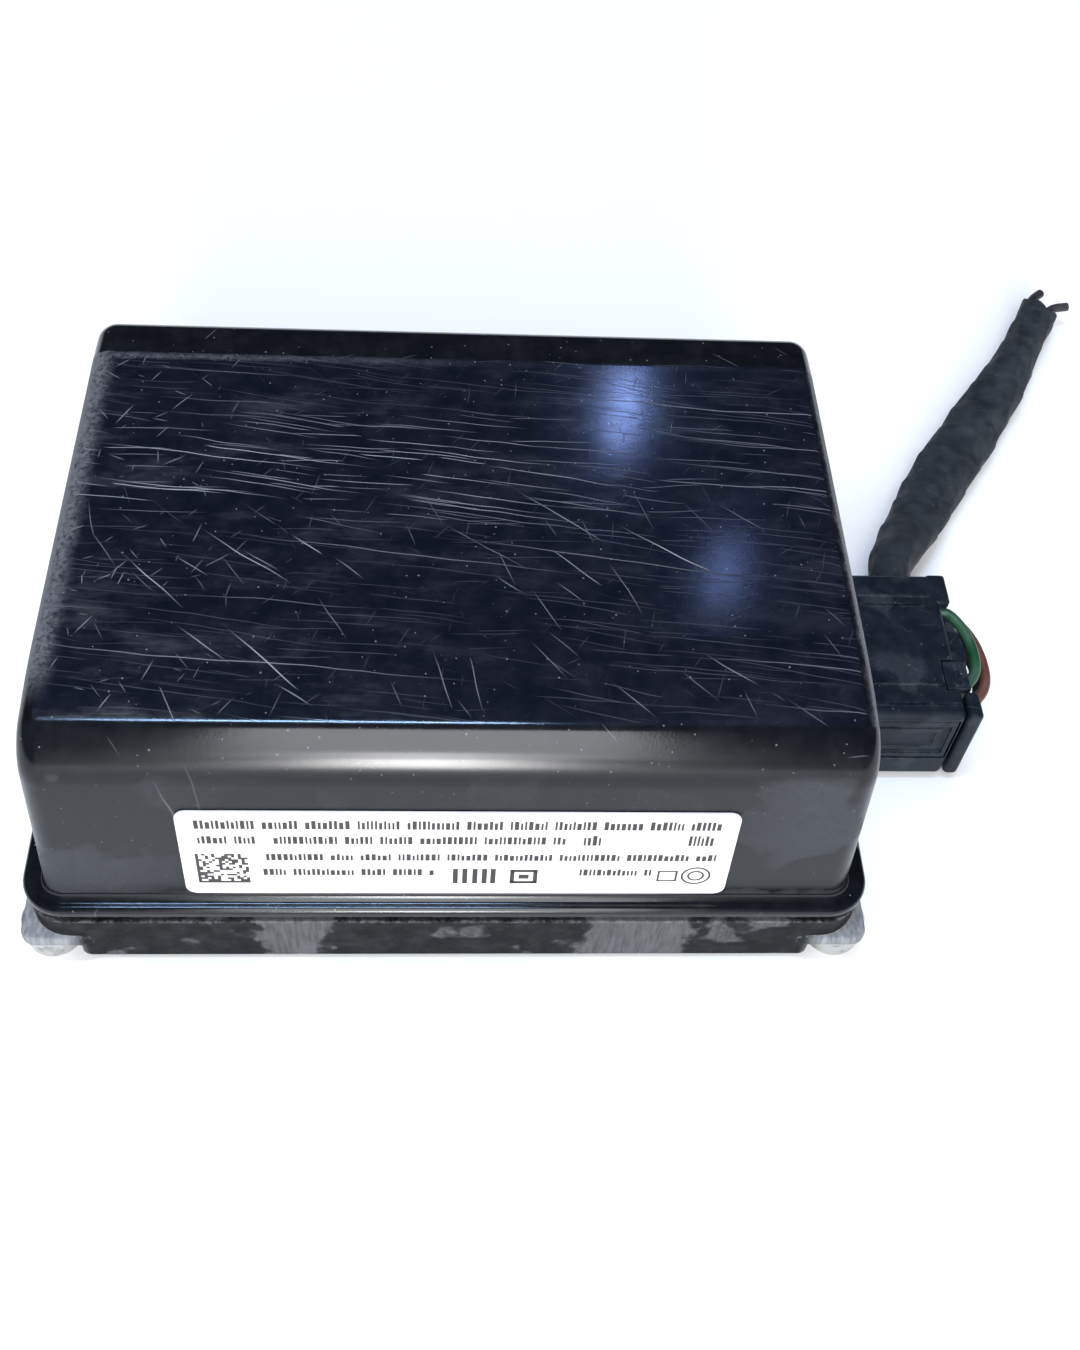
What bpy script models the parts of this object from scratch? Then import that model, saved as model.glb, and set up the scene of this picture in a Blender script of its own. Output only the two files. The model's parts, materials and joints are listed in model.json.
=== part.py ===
"""Scanning radar sensor: cast base, glossy radome, spinning antenna drum, sealed plug and harness stub.

The sensor stands on its four mounting bosses. Units are metres and +Z is up. -Y is the side with the
label and +X is the side with the plug. The pieces are drawn about the middle of the housing, and main
then moves them, so that the origin is under the middle of the sensor with its connector header.
"""

import math

import bmesh
import bpy
from mathutils import Matrix, Vector

GAP = 0.0003  # clearance left between two pieces that touch

# Radome: a loaf with a crowned top, a crease at the start of each shoulder and drafted walls.
TOP_Z = 0.0490
RADOME_TOP_HALF_X = 0.0556
RADOME_FOOT_HALF_X = 0.0568
FLAT_HALF_Y = 0.0200
CREASE_HALF_Y = 0.0335
CROWN_DROP = 0.0014
WALL_TOP_HALF_Y = 0.0389
WALL_FOOT_HALF_Y = 0.0413
SHOULDER_START = math.radians(22)
SHOULDER_END = math.radians(84.7)
FAR_RIDGE_Y = 0.0315
FAR_SLOPE = math.radians(4)
FAR_BAND = 0.00533
FAR_RADIUS = 0.0042
FAR_WALL = math.radians(87.5)
EDGE_RADIUS = 0.0030
RADOME_WALL = 0.0022

# Flange of the radome, and the die-cast base below it.
FLANGE_HALF_X = 0.0600
FLANGE_HALF_Y = 0.0435
FLANGE_BOTTOM = 0.0130
FLANGE_TOP = 0.0147
CORNER_RADIUS = 0.0060
BASE_HALF_X = 0.0597
BASE_BOTTOM = 0.0007
BASE_STEP_Z = 0.0115
BASE_TOP = FLANGE_BOTTOM - GAP
BASE_FLOOR = 0.0032
CAVITY_HALF_X = 0.0546
CAVITY_HALF_Y = 0.0386
CAVITY_UPPER_Z = 0.0090
NOTCH_X = 0.0526
NOTCH_Y = 0.0339
SEAL_BED = BASE_STEP_Z
SEAL_WIDTH = 0.0009
SEAL_HALF_X = 0.0563
SEAL_HALF_Y = 0.0402
SEAL_CORNER = 0.0035

# Vent plug under the base, in the first row of underside pockets.
VENT_RADIUS = 0.0040
VENT_COLUMN = 0
VENT_PLACE = (-0.0338, 0.0200, 0.0)

# Corner ears and the threaded bosses under them.
EAR_BOTTOM = 0.0052
EAR_TOP = 0.0069
EAR_HALF_X = 0.0610
EAR_HALF_Y = 0.0441
BOSS_X = 0.0574
BOSS_Y = 0.0392
BOSS_RADIUS = 0.0043
THREAD_RADIUS = 0.0021
THREAD_DEPTH = 0.0040
SPIGOT_RADIUS = 0.0015

# Rating label on the -Y wall.
LABEL_LEFT = -0.0366
LABEL_RIGHT = 0.0383
LABEL_LOW = 0.0017
LABEL_HIGH = 0.0209
LABEL_CORNER = 0.0016
LABEL_THICK = 0.0003

# Circuit board, antenna frame and drum.
BOARD_Z = 0.0060
BOARD_THICK = 0.0016
BOARD_X = (-0.0430, 0.0460)
BOARD_HALF_Y = 0.0330
BOARD_SCREW_X = 0.0390
BOARD_SCREW_Y = 0.0290
SCREW_RADIUS = 0.0010
SCREW_HEAD_RADIUS = 0.0021
SCREW_HOLE_RADIUS = SCREW_RADIUS + GAP
CHIP_SPAN = (-0.0170, -0.0030)
FRAME_Z = 0.0145
FRAME_THICK = 0.0020
FRAME_POST_X = 0.0483
FRAME_POST_Y = 0.0350
DRUM_Y = 0.0180
DRUM_Z = 0.0285
DRUM_RADIUS = 0.0110
DRUM_X = (-0.0340, 0.0360)
SHAFT_RADIUS = 0.0020
BEARING_X = 0.0450
BEARING_RADIUS = 0.0050
BEARING_WIDTH = 0.0034

# Connector on the +X wall: header on the sensor, plug on the harness.
PLUG_MID_Y = 0.0016
HEADER_HALF_Y = 0.0104
HEADER_Z = (0.0026, 0.0104)
HEADER_END = 0.0700
HEADER_WALL = 0.0011
PIN_SIZE = 0.0008
PIN_PITCH = 0.0042
PIN_ROWS = (0.0049, 0.0081)
PLUG_X = (0.0610, 0.0795)
PLUG_Y = (-0.0125, 0.0157)
PLUG_Z = (0.0013, 0.0182)
PLUG_BACK_END = 0.0822
LATCH_PIVOT_X = 0.0705
LATCH_PIVOT_Y = -0.0113
LATCH_START = 0.0624
LATCH_END = 0.0786
LATCH_FLOOR = -0.0106
LATCH_Z = (0.0065, 0.0165)
LOCK_Y = (-0.0072, -0.0018)
LOCK_Z = (0.0166, 0.0180)

ORIGIN_X = (HEADER_END - BOSS_X - BOSS_RADIUS) / 2  # middle of the sensor with its header

# Harness stub: centre line of the taped bundle, from the plug to its cut end on the table.
STUB_RADIUS = 0.0040
STUB_ROUTE = (
    (0.0738, 0.0164, 0.0110),
    (0.0740, 0.0196, 0.0109),
    (0.0760, 0.0252, 0.0098),
    (0.0802, 0.0322, 0.0074),
    (0.0844, 0.0394, 0.0056),
    (0.0886, 0.0463, 0.0046),
    (0.0972, 0.0592, 0.0042),
    (0.1064, 0.0724, 0.0042),
    (0.1151, 0.0864, 0.0042),
    (0.1212, 0.0976, 0.0042),
)
WIRE_RADIUS = 0.0009
# Wires behind the plug: material, start and end along Y, height, and how far the arch stands out.
WIRE_ROUTES = {
    "wire_green": ("green", -0.0042, 0.0106, 0.0140, 0.0043),
    "wire_brown": ("brown", -0.0062, 0.0128, 0.0112, 0.0066),
    "wire_black": ("plug", -0.0062, 0.0128, 0.0084, 0.0062),
    "wire_grey": ("grey", -0.0042, 0.0106, 0.0058, 0.0044),
}
# Cut wire ends: place across and up the cut face, reach past it and turn sideways.
CUT_ENDS = (
    (-0.0022, 0.0008, 0.0046, 0.0012),
    (0.0020, 0.0006, 0.0036, 0.0030),
    (0.0004, -0.0022, 0.0022, -0.0010),
)


def clear_scene():
    for obj in list(bpy.data.objects):
        bpy.data.objects.remove(obj, do_unlink=True)


def material(name, colour, roughness, metallic=0.0):
    """A plain Principled material."""
    mat = bpy.data.materials.new(name)
    mat.use_nodes = True
    shader = mat.node_tree.nodes["Principled BSDF"]
    shader.inputs["Base Color"].default_value = (*colour, 1.0)
    shader.inputs["Roughness"].default_value = roughness
    shader.inputs["Metallic"].default_value = metallic
    return mat


def make_object(name, bm, mat=None, parent=None):
    """Turns a bmesh in world coordinates into a named object. A parent gives it that origin."""
    bmesh.ops.recalc_face_normals(bm, faces=bm.faces)
    mesh = bpy.data.meshes.new(name)
    bm.to_mesh(mesh)
    bm.free()
    if mat:
        mesh.materials.append(mat)
    obj = bpy.data.objects.new(name, mesh)
    bpy.context.scene.collection.objects.link(obj)
    if parent:
        mesh.transform(Matrix.Translation(-parent.location))
        obj.parent = parent
    mesh.shade_smooth()
    mesh.set_sharp_from_angle(angle=math.radians(35))
    return obj


def make_pivot(name, location):
    """An empty on a joint's axis, which the moving pieces are parented to."""
    pivot = bpy.data.objects.new(name, None)
    pivot.location = location
    pivot.empty_display_size = 0.01
    bpy.context.scene.collection.objects.link(pivot)
    return pivot


def boolean(target, name, bm, operation, parent=None):
    """Adds a Boolean modifier to target, with a hidden helper made from the bmesh."""
    helper = make_object(name, bm, parent=parent)
    helper.hide_render = True
    helper.display_type = "WIRE"
    modifier = target.modifiers.new(name, "BOOLEAN")
    modifier.operation = operation
    modifier.object = helper


def cut(target, name, bm, parent=None):
    boolean(target, name, bm, "DIFFERENCE", parent)


def add(target, name, bm, parent=None):
    boolean(target, name, bm, "UNION", parent)


def loft(rings):
    """A closed bmesh through rings of equal length, capped at both ends."""
    bm = bmesh.new()
    loops = [[bm.verts.new(point) for point in ring] for ring in rings]
    count = len(loops[0])
    for low, high in zip(loops, loops[1:]):
        for i in range(count):
            j = (i + 1) % count
            bm.faces.new((low[i], low[j], high[j], high[i]))
    bm.faces.new(loops[0][::-1])
    bm.faces.new(loops[-1])
    return bm


def rounded_rect(x_range, y_range, radius, segments=5):
    """Outline of a rounded rectangle, anticlockwise."""
    low = Vector((x_range[0] + radius, y_range[0] + radius))
    high = Vector((x_range[1] - radius, y_range[1] - radius))
    centres = (high, Vector((low.x, high.y)), low, Vector((high.x, low.y)))
    points = []
    for quarter, centre in enumerate(centres):
        for step in range(segments + 1):
            angle = (quarter + step / segments) * math.pi / 2
            points.append(centre + radius * Vector((math.cos(angle), math.sin(angle))))
    return points


def slab(outline, z0, z1, chamfer_low=0.0, chamfer_high=0.0):
    """A prism from a flat outline, with optional chamfers round its lower and upper edges."""
    levels = [(z0, chamfer_low)]
    if chamfer_low:
        levels.append((z0 + chamfer_low, 0.0))
    if chamfer_high:
        levels.append((z1 - chamfer_high, 0.0))
    levels.append((z1, chamfer_high))
    middle = sum(outline, Vector((0, 0))) / len(outline)
    half = max(abs(p.x - middle.x) for p in outline), max(abs(p.y - middle.y) for p in outline)
    rings = []
    for z, inset in levels:
        scale = Vector(((half[0] - inset) / half[0], (half[1] - inset) / half[1]))
        rings.append([(*(middle + (p - middle) * scale), z) for p in outline])
    return loft(rings)


def box(x, y, z, bevel=0.0):
    """A box from three (low, high) ranges, with bevelled edges if asked."""
    bm = bmesh.new()
    size = Vector((x[1] - x[0], y[1] - y[0], z[1] - z[0]))
    middle = Vector((x[0] + x[1], y[0] + y[1], z[0] + z[1])) / 2
    bmesh.ops.create_cube(bm, size=1.0, matrix=Matrix.Translation(middle) @ Matrix.Diagonal((*size, 1.0)))
    if bevel:
        bmesh.ops.bevel(bm, geom=bm.edges[:], offset=bevel, segments=2, profile=0.5, affect="EDGES")
    return bm


def turned(profile, place, axis="Z", segments=24):
    """A solid turned from (radius, height) points about an axis through place.

    A profile whose ends lie on the axis gives a solid piece, and one that closes on itself gives a ring.
    """
    turn = {"Z": Matrix.Identity(4), "X": Matrix.Rotation(math.pi / 2, 4, "Y")}[axis]
    matrix = Matrix.Translation(place) @ turn
    solid = profile[0][0] == 0.0
    inner = profile[1:-1] if solid else profile
    bm = bmesh.new()
    rings = []
    for radius, height in inner:
        ring = []
        for step in range(segments):
            angle = 2 * math.pi * step / segments
            point = Vector((radius * math.cos(angle), radius * math.sin(angle), height))
            ring.append(bm.verts.new(matrix @ point))
        rings.append(ring)
    pairs = list(zip(rings, rings[1:]))
    if solid:
        ends = [bm.verts.new(matrix @ Vector((0, 0, profile[k][1]))) for k in (0, -1)]
    else:
        pairs.append((rings[-1], rings[0]))
    for step in range(segments):
        after = (step + 1) % segments
        for ring, other in pairs:
            bm.faces.new((ring[step], ring[after], other[after], other[step]))
        if solid:
            bm.faces.new((ends[0], rings[0][after], rings[0][step]))
            bm.faces.new((ends[1], rings[-1][step], rings[-1][after]))
    return bm


def disc(radius, z0, z1, place, axis="Z", segments=24):
    """A plain round piece, for a pad, a plug or a hole cutter."""
    return turned(((0.0, z0), (radius, z0), (radius, z1), (0.0, z1)), place, axis, segments)


def merged(pieces):
    """Several separate closed bmeshes as one, for a cutter that makes several holes."""
    whole = bmesh.new()
    for bm in pieces:
        mesh = bpy.data.meshes.new("piece")
        bm.to_mesh(mesh)
        bm.free()
        whole.from_mesh(mesh)
        bpy.data.meshes.remove(mesh)
    return whole


def at_corners(x, y):
    """Four places at the corners of a rectangle, anticlockwise from -X -Y."""
    return [(sx * x, sy * y, 0.0) for sx, sy in corner_signs()]


def corner_signs():
    return ((-1, -1), (1, -1), (1, 1), (-1, 1))


def boss_places():
    return at_corners(BOSS_X, BOSS_Y)


def board_screw_places():
    return at_corners(BOARD_SCREW_X, BOARD_SCREW_Y)


def frame_screw_places():
    return at_corners(FRAME_POST_X, FRAME_POST_Y)


def radome_profile(inset, steps):
    """(y, z) points and outward normals of the radome's section, from its -Y foot over the top.

    inset moves the whole section inwards, which gives the inner face of the wall.
    """
    near = [(-y, z, -math.sin(a), math.cos(a)) for y, z, a in reversed(near_half(inset, steps))]
    return near + [(y, z, math.sin(a), math.cos(a)) for y, z, a in far_half(inset, steps)]


def near_half(inset, steps):
    """(-y, z, tilt) from the flat crown down the broad -Y shoulder to the foot."""
    crease_y = CREASE_HALF_Y - inset / 2
    crease_z = TOP_Z - CROWN_DROP - inset
    wall_y = WALL_TOP_HALF_Y - inset
    radius = (wall_y - crease_y) / (math.sin(SHOULDER_END) - math.sin(SHOULDER_START))
    centre = (crease_y - radius * math.sin(SHOULDER_START), crease_z - radius * math.cos(SHOULDER_START))
    slope = (WALL_FOOT_HALF_Y - WALL_TOP_HALF_Y) / math.tan(math.pi / 2 - SHOULDER_END)
    half = [(FLAT_HALF_Y, TOP_Z - inset, 0.0)]
    half.append(((FLAT_HALF_Y + crease_y) / 2, TOP_Z - inset - CROWN_DROP / 4, SHOULDER_START / 3))
    for step in range(steps + 1):
        angle = SHOULDER_START + (SHOULDER_END - SHOULDER_START) * step / steps
        half.append((centre[0] + radius * math.sin(angle), centre[1] + radius * math.cos(angle), angle))
    foot_z = half[-1][1] - slope - 0.004
    foot_y = half[-1][0] + (half[-1][1] - foot_z) * math.tan(math.pi / 2 - SHOULDER_END)
    half.append((foot_y, foot_z, SHOULDER_END))
    return half


def far_half(inset, steps):
    """(y, z, tilt) from the ridge over a slightly sloping band and a tight shoulder to the foot."""
    radius = FAR_RADIUS - inset
    band_end = (
        FAR_RIDGE_Y + FAR_BAND * math.cos(FAR_SLOPE),
        TOP_Z - FAR_BAND * math.sin(FAR_SLOPE),
    )
    centre = (
        band_end[0] - FAR_RADIUS * math.sin(FAR_SLOPE),
        band_end[1] - FAR_RADIUS * math.cos(FAR_SLOPE),
    )
    half = [(FAR_RIDGE_Y - inset * math.sin(FAR_SLOPE / 2), TOP_Z - inset, FAR_SLOPE / 2)]
    for step in range(steps + 1):
        angle = FAR_SLOPE + (FAR_WALL - FAR_SLOPE) * step / steps
        half.append((centre[0] + radius * math.sin(angle), centre[1] + radius * math.cos(angle), angle))
    foot_z = FLANGE_BOTTOM - 0.004
    foot_y = half[-1][0] + (half[-1][1] - foot_z) * math.tan(math.pi / 2 - FAR_WALL)
    half.append((foot_y, foot_z, FAR_WALL))
    return half


def radome_loaf(inset, edge_radius, bottom, steps=6, fillet=4):
    """The loaf as a closed solid cut flat at bottom, with rounded edges round its two side walls."""
    profile = radome_profile(inset, steps)
    slope = (RADOME_FOOT_HALF_X - RADOME_TOP_HALF_X) / (TOP_Z - FLANGE_BOTTOM)
    rings = []
    for side in (-1, 1):
        stations = range(fillet + 1) if side < 0 else range(fillet, -1, -1)
        for station in stations:
            angle = math.pi / 2 * station / fillet
            sink = edge_radius * (1 - math.sin(angle))
            ring = []
            for y, z, ny, nz in profile:
                low = z - nz * sink
                half_x = RADOME_TOP_HALF_X - inset + slope * (TOP_Z - low)
                x = side * (half_x - edge_radius * (1 - math.cos(angle)))
                ring.append((x, y - ny * sink, low))
            rings.append(ring)
    bm = loft(rings)
    geometry = bm.verts[:] + bm.edges[:] + bm.faces[:]
    bmesh.ops.bisect_plane(bm, geom=geometry, plane_co=(0, 0, bottom), plane_no=(0, 0, -1), clear_outer=True)
    bmesh.ops.holes_fill(bm, edges=[edge for edge in bm.edges if edge.is_boundary])
    return bm


def build_radome(mats):
    radome = make_object("radome", radome_loaf(0.0, EDGE_RADIUS, FLANGE_BOTTOM), mats["radome"])
    outline = rounded_rect((-FLANGE_HALF_X, FLANGE_HALF_X), (-FLANGE_HALF_Y, FLANGE_HALF_Y), CORNER_RADIUS)
    add(radome, "radome_flange", slab(outline, FLANGE_BOTTOM, FLANGE_TOP, chamfer_high=0.0006))
    hollow = radome_loaf(RADOME_WALL, EDGE_RADIUS - RADOME_WALL / 2, FLANGE_BOTTOM - 0.001)
    cut(radome, "radome_hollow", hollow)


def build_base(mats):
    half_y = FLANGE_HALF_Y
    outline = rounded_rect((-BASE_HALF_X, BASE_HALF_X), (-half_y, half_y), CORNER_RADIUS)
    base = make_object("base_casting", slab(outline, BASE_BOTTOM, BASE_STEP_Z, 0.0005), mats["casting"])
    step = 0.0010
    rim = rounded_rect(
        (step - BASE_HALF_X, BASE_HALF_X - step), (step - half_y, half_y - step), CORNER_RADIUS - step
    )
    add(base, "base_rim", slab(rim, BASE_STEP_Z - 0.001, BASE_TOP))
    notches = []
    ears = []
    for sx, sy in corner_signs():
        notch_x = sorted((sx * NOTCH_X, sx * 0.070))
        notch_y = sorted((sy * NOTCH_Y, sy * 0.050))
        notches.append(slab(rounded_rect(notch_x, notch_y, 0.002), -0.001, EAR_BOTTOM))
        ear_x = sorted((sx * 0.050, sx * EAR_HALF_X))
        ear_y = sorted((sy * 0.030, sy * EAR_HALF_Y))
        ears.append(slab(rounded_rect(ear_x, ear_y, 0.0022), EAR_BOTTOM, EAR_TOP, 0.0, 0.0004))
    cut(base, "base_notches", merged(notches))
    add(base, "base_ears", merged(ears))
    add_base_hollow(base)
    add_base_seats(base)
    cut(base, "header_window", box((0.050, 0.065), header_y(GAP), header_z(GAP)))


def add_base_hollow(base):
    """Cuts the tray: narrow at the corners up to CAVITY_UPPER_Z, and full size above."""
    arm_x = NOTCH_X - 0.0024
    arm_y = NOTCH_Y - 0.0024
    along_x = rounded_rect((-CAVITY_HALF_X, CAVITY_HALF_X), (-arm_y, arm_y), 0.002, 3)
    along_y = rounded_rect((-arm_x, arm_x), (-CAVITY_HALF_Y, CAVITY_HALF_Y), 0.002, 3)
    full = rounded_rect(
        (-CAVITY_HALF_X, CAVITY_HALF_X), (-CAVITY_HALF_Y, CAVITY_HALF_Y), 0.003, 3
    )
    cut(base, "base_hollow_x", slab(along_x, BASE_FLOOR, 0.020))
    cut(base, "base_hollow_y", slab(along_y, BASE_FLOOR, 0.021))
    cut(base, "base_hollow_upper", slab(full, CAVITY_UPPER_Z, 0.022))
    margin = 0.0001
    groove = slab(seal_outline(SEAL_WIDTH + GAP + margin), SEAL_BED, 0.014)
    ring = make_object("seal_groove_ring", groove)
    ring.hide_render = True
    ring.display_type = "WIRE"
    cut(ring, "seal_groove_core", slab(seal_outline(-margin), SEAL_BED - 0.001, 0.015))
    modifier = base.modifiers.new("seal_groove", "BOOLEAN")
    modifier.operation = "DIFFERENCE"
    modifier.object = ring


def seal_outline(grow):
    """Outline at the inner edge of the seal groove, grown outwards."""
    half_x = SEAL_HALF_X + grow
    half_y = SEAL_HALF_Y + grow
    return rounded_rect((-half_x, half_x), (-half_y, half_y), SEAL_CORNER + grow)


def add_base_seats(base):
    """Posts for the boards and the antenna frame, boss pockets, vent seat and underside pockets."""
    posts = []
    holes = []
    foot = BASE_FLOOR - 0.0007
    for board, frame, boss in zip(board_screw_places(), frame_screw_places(), boss_places()):
        posts.append(disc(0.0026, foot, BOARD_Z - GAP, board, segments=12))
        posts.append(disc(0.0024, foot, FRAME_Z - GAP, frame, segments=12))
        holes.append(disc(SCREW_HOLE_RADIUS, 0.0036, 0.020, board, segments=12))
        holes.append(disc(SCREW_HOLE_RADIUS, 0.0080, 0.021, frame, segments=12))
        holes.append(disc(SPIGOT_RADIUS + GAP, 0.004, EAR_TOP, boss, segments=16))
    add(base, "base_posts", merged(posts))
    seat = VENT_RADIUS + GAP
    bore = 0.0011
    vent = ((0.0, -0.001), (seat, -0.001), (seat, 0.0024), (bore, 0.0024), (bore, 0.005), (0.0, 0.005))
    holes.append(turned(vent, VENT_PLACE, segments=20))
    cut(base, "base_holes", merged(holes))
    pockets = []
    for column in range(4):
        x = -0.0435 + column * 0.0225
        for low, high in ((-0.038, -0.0015), (0.0015, 0.038)):
            if column == VENT_COLUMN and low > 0:
                continue
            outline = rounded_rect((x, x + 0.0195), (low, high), 0.002, 3)
            pockets.append(slab(outline, -0.001, BASE_BOTTOM + 0.001))
    cut(base, "underside_pockets", merged(pockets))


def header_y(grow):
    return (PLUG_MID_Y - HEADER_HALF_Y - grow, PLUG_MID_Y + HEADER_HALF_Y + grow)


def header_z(grow):
    return (HEADER_Z[0] - grow, HEADER_Z[1] + grow)


def build_seal(mats):
    """The ring of sealant in the groove, with the step of the base left free above it."""
    outer = slab(seal_outline(GAP + SEAL_WIDTH), SEAL_BED + GAP, BASE_TOP - 0.0001)
    seal = make_object("perimeter_seal", outer, mats["rubber"])
    cut(seal, "perimeter_seal_core", slab(seal_outline(GAP), 0.010, 0.015))


def build_bosses(mats):
    """Four steel bosses, each with a blind thread from below and a spigot into the ear."""
    top = EAR_BOTTOM - GAP
    edge = 0.0007
    spigot_top = EAR_TOP - GAP
    profile = (
        (0.0, THREAD_DEPTH),
        (THREAD_RADIUS, THREAD_DEPTH),
        (THREAD_RADIUS, 0.0),
        (BOSS_RADIUS - edge, 0.0),
        (BOSS_RADIUS, edge),
        (BOSS_RADIUS, top),
        (SPIGOT_RADIUS, top),
        (SPIGOT_RADIUS, spigot_top),
        (0.0, spigot_top),
    )
    for index, place in enumerate(boss_places(), 1):
        make_object(f"mounting_boss_{index}", turned(profile, place), mats["steel"])


def build_vent(mats):
    """A round plug with a chamfered face, sunk a little into the underside."""
    low = BASE_BOTTOM + 0.0002
    high = 0.0024 - GAP
    profile = (
        (0.0, low),
        (VENT_RADIUS - 0.0006, low),
        (VENT_RADIUS, low + 0.0004),
        (VENT_RADIUS, high),
        (0.0, high),
    )
    make_object("vent_plug", turned(profile, VENT_PLACE, segments=20), mats["vent"])


def build_label(mats):
    """A thin plate that lies on the drafted -Y wall."""
    outline = rounded_rect((LABEL_LEFT, LABEL_RIGHT), (LABEL_LOW, LABEL_HIGH), LABEL_CORNER, 3)
    bm = slab(outline, 0.0, LABEL_THICK)
    foot = Vector((0.0, -WALL_FOOT_HALF_Y - 0.0001, FLANGE_TOP))
    lean = Matrix.Rotation(SHOULDER_END, 4, "X")
    bm.transform(Matrix.Translation(foot) @ lean)
    make_object("rating_label", bm, mats["label"])


def screw_holes(places, z0, z1):
    """Clearance holes for the screws, as one cutter."""
    return merged([disc(SCREW_HOLE_RADIUS, z0, z1, place, segments=12) for place in places])


def screw(name, place, head_z, tip_z, mat):
    """A pan-head screw along Z with a plain shank."""
    head_top = head_z + 0.0014
    profile = (
        (0.0, tip_z),
        (SCREW_RADIUS - 0.0004, tip_z),
        (SCREW_RADIUS, tip_z + 0.0005),
        (SCREW_RADIUS, head_z),
        (SCREW_HEAD_RADIUS, head_z),
        (SCREW_HEAD_RADIUS, head_top - 0.0005),
        (SCREW_HEAD_RADIUS - 0.0006, head_top),
        (0.0, head_top),
    )
    make_object(name, turned(profile, place, segments=12), mat)


def build_electronics(mats):
    """Main board with its parts, and the screws that hold it."""
    top = BOARD_Z + BOARD_THICK
    outline = rounded_rect(BOARD_X, (-BOARD_HALF_Y, BOARD_HALF_Y), 0.002, 3)
    board = make_object("main_board", slab(outline, BOARD_Z, top), mats["board"])
    places = board_screw_places()
    cut(board, "board_holes", screw_holes(places, 0.004, 0.010))
    for index, place in enumerate(places, 1):
        screw(f"board_screw_{index}", place, top + GAP, 0.0040, mats["steel"])
    seat = top + GAP
    chip = box(CHIP_SPAN, CHIP_SPAN, (seat, seat + 0.0012))
    make_object("processor_chip", chip, mats["chip"])
    radius = 0.0035
    high = 0.0132
    can = ((0.0, seat), (radius, seat), (radius, high - 0.0004), (radius - 0.0004, high), (0.0, high))
    make_object("power_capacitor", turned(can, (0.034, -0.018, 0), segments=16), mats["aluminium"])
    pad_span = (CHIP_SPAN[0] + 0.001, CHIP_SPAN[1] - 0.001)
    pad = box(pad_span, pad_span, (BASE_FLOOR + GAP, BOARD_Z - GAP))
    make_object("thermal_pad", pad, mats["pad"])


def pin_places():
    return [(PLUG_MID_Y + (column - 1.5) * PIN_PITCH, z) for z in PIN_ROWS for column in range(4)]


def pin_boxes(x_range, size):
    half = size / 2
    return [box(x_range, (y - half, y + half), (z - half, z + half)) for y, z in pin_places()]


def build_header(mats):
    """The header shell with its open shroud, and the eight contact pins."""
    shell = box((0.0505, HEADER_END), header_y(0), header_z(0))
    header = make_object("connector_header", shell, mats["plastic"])
    flange = box((0.0515, CAVITY_HALF_X - GAP), header_y(0.0016), (BASE_FLOOR + GAP, 0.0112))
    add(header, "header_flange", flange)
    mouth = (header_y(-HEADER_WALL), header_z(-HEADER_WALL))
    cut(header, "header_mouth", box((0.0603, 0.080), *mouth))
    catch_y = header_y(0)[0]
    catch = box((0.0640, 0.0656), (catch_y - 0.0009, catch_y + 0.0005), (0.0058, 0.0090))
    add(header, "header_catch", catch)
    cut(header, "pin_holes", merged(pin_boxes((0.045, 0.065), PIN_SIZE + 2 * GAP)))
    for index, bm in enumerate(pin_boxes((0.0440, 0.0670), PIN_SIZE), 1):
        make_object(f"contact_pin_{index}", bm, mats["pin"])


def build_antenna(mats):
    """The frame that carries the drum bearings, the stator and the fixed antenna parts."""
    top = FRAME_Z + FRAME_THICK
    outline = rounded_rect((-0.0515, 0.0515), (-0.0375, 0.0375), 0.003, 3)
    frame = make_object("bearing_frame", slab(outline, FRAME_Z, top), mats["aluminium"])
    uprights = []
    for side in (-1, 1):
        x = sorted((side * (BEARING_X - 0.0015), side * (BEARING_X + 0.0015)))
        uprights.append(box(x, (DRUM_Y - 0.009, DRUM_Y + 0.009), (FRAME_Z + 0.0005, DRUM_Z + 0.009)))
    add(frame, "frame_uprights", merged(uprights))
    bore = disc(BEARING_RADIUS + GAP, -0.055, 0.055, (0, DRUM_Y, DRUM_Z), "X")
    cut(frame, "frame_bores", bore)
    places = frame_screw_places()
    cut(frame, "frame_holes", screw_holes(places, 0.013, 0.018))
    for index, place in enumerate(places, 1):
        screw(f"frame_screw_{index}", place, top + GAP, 0.0090, mats["steel"])
    half = BEARING_WIDTH / 2
    inner = SHAFT_RADIUS + GAP
    bearing = ((inner, -half), (BEARING_RADIUS, -half), (BEARING_RADIUS, half), (inner, half))
    for side, word in ((-1, "left"), (1, "right")):
        ring = turned(bearing, (side * BEARING_X, DRUM_Y, DRUM_Z), "X")
        make_object(f"drum_bearing_{word}", ring, mats["steel"])
    stator = ((0.0081, -0.0425), (0.0113, -0.0425), (0.0113, -0.0365), (0.0081, -0.0365))
    make_object("motor_stator", turned(stator, (0, DRUM_Y, DRUM_Z), "X"), mats["copper"])
    sensor = box((0.0375, 0.0405), (0.015, 0.021), (top + GAP, 0.0202))
    make_object("position_sensor", sensor, mats["chip"])
    build_waveguide(mats, top)


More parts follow.
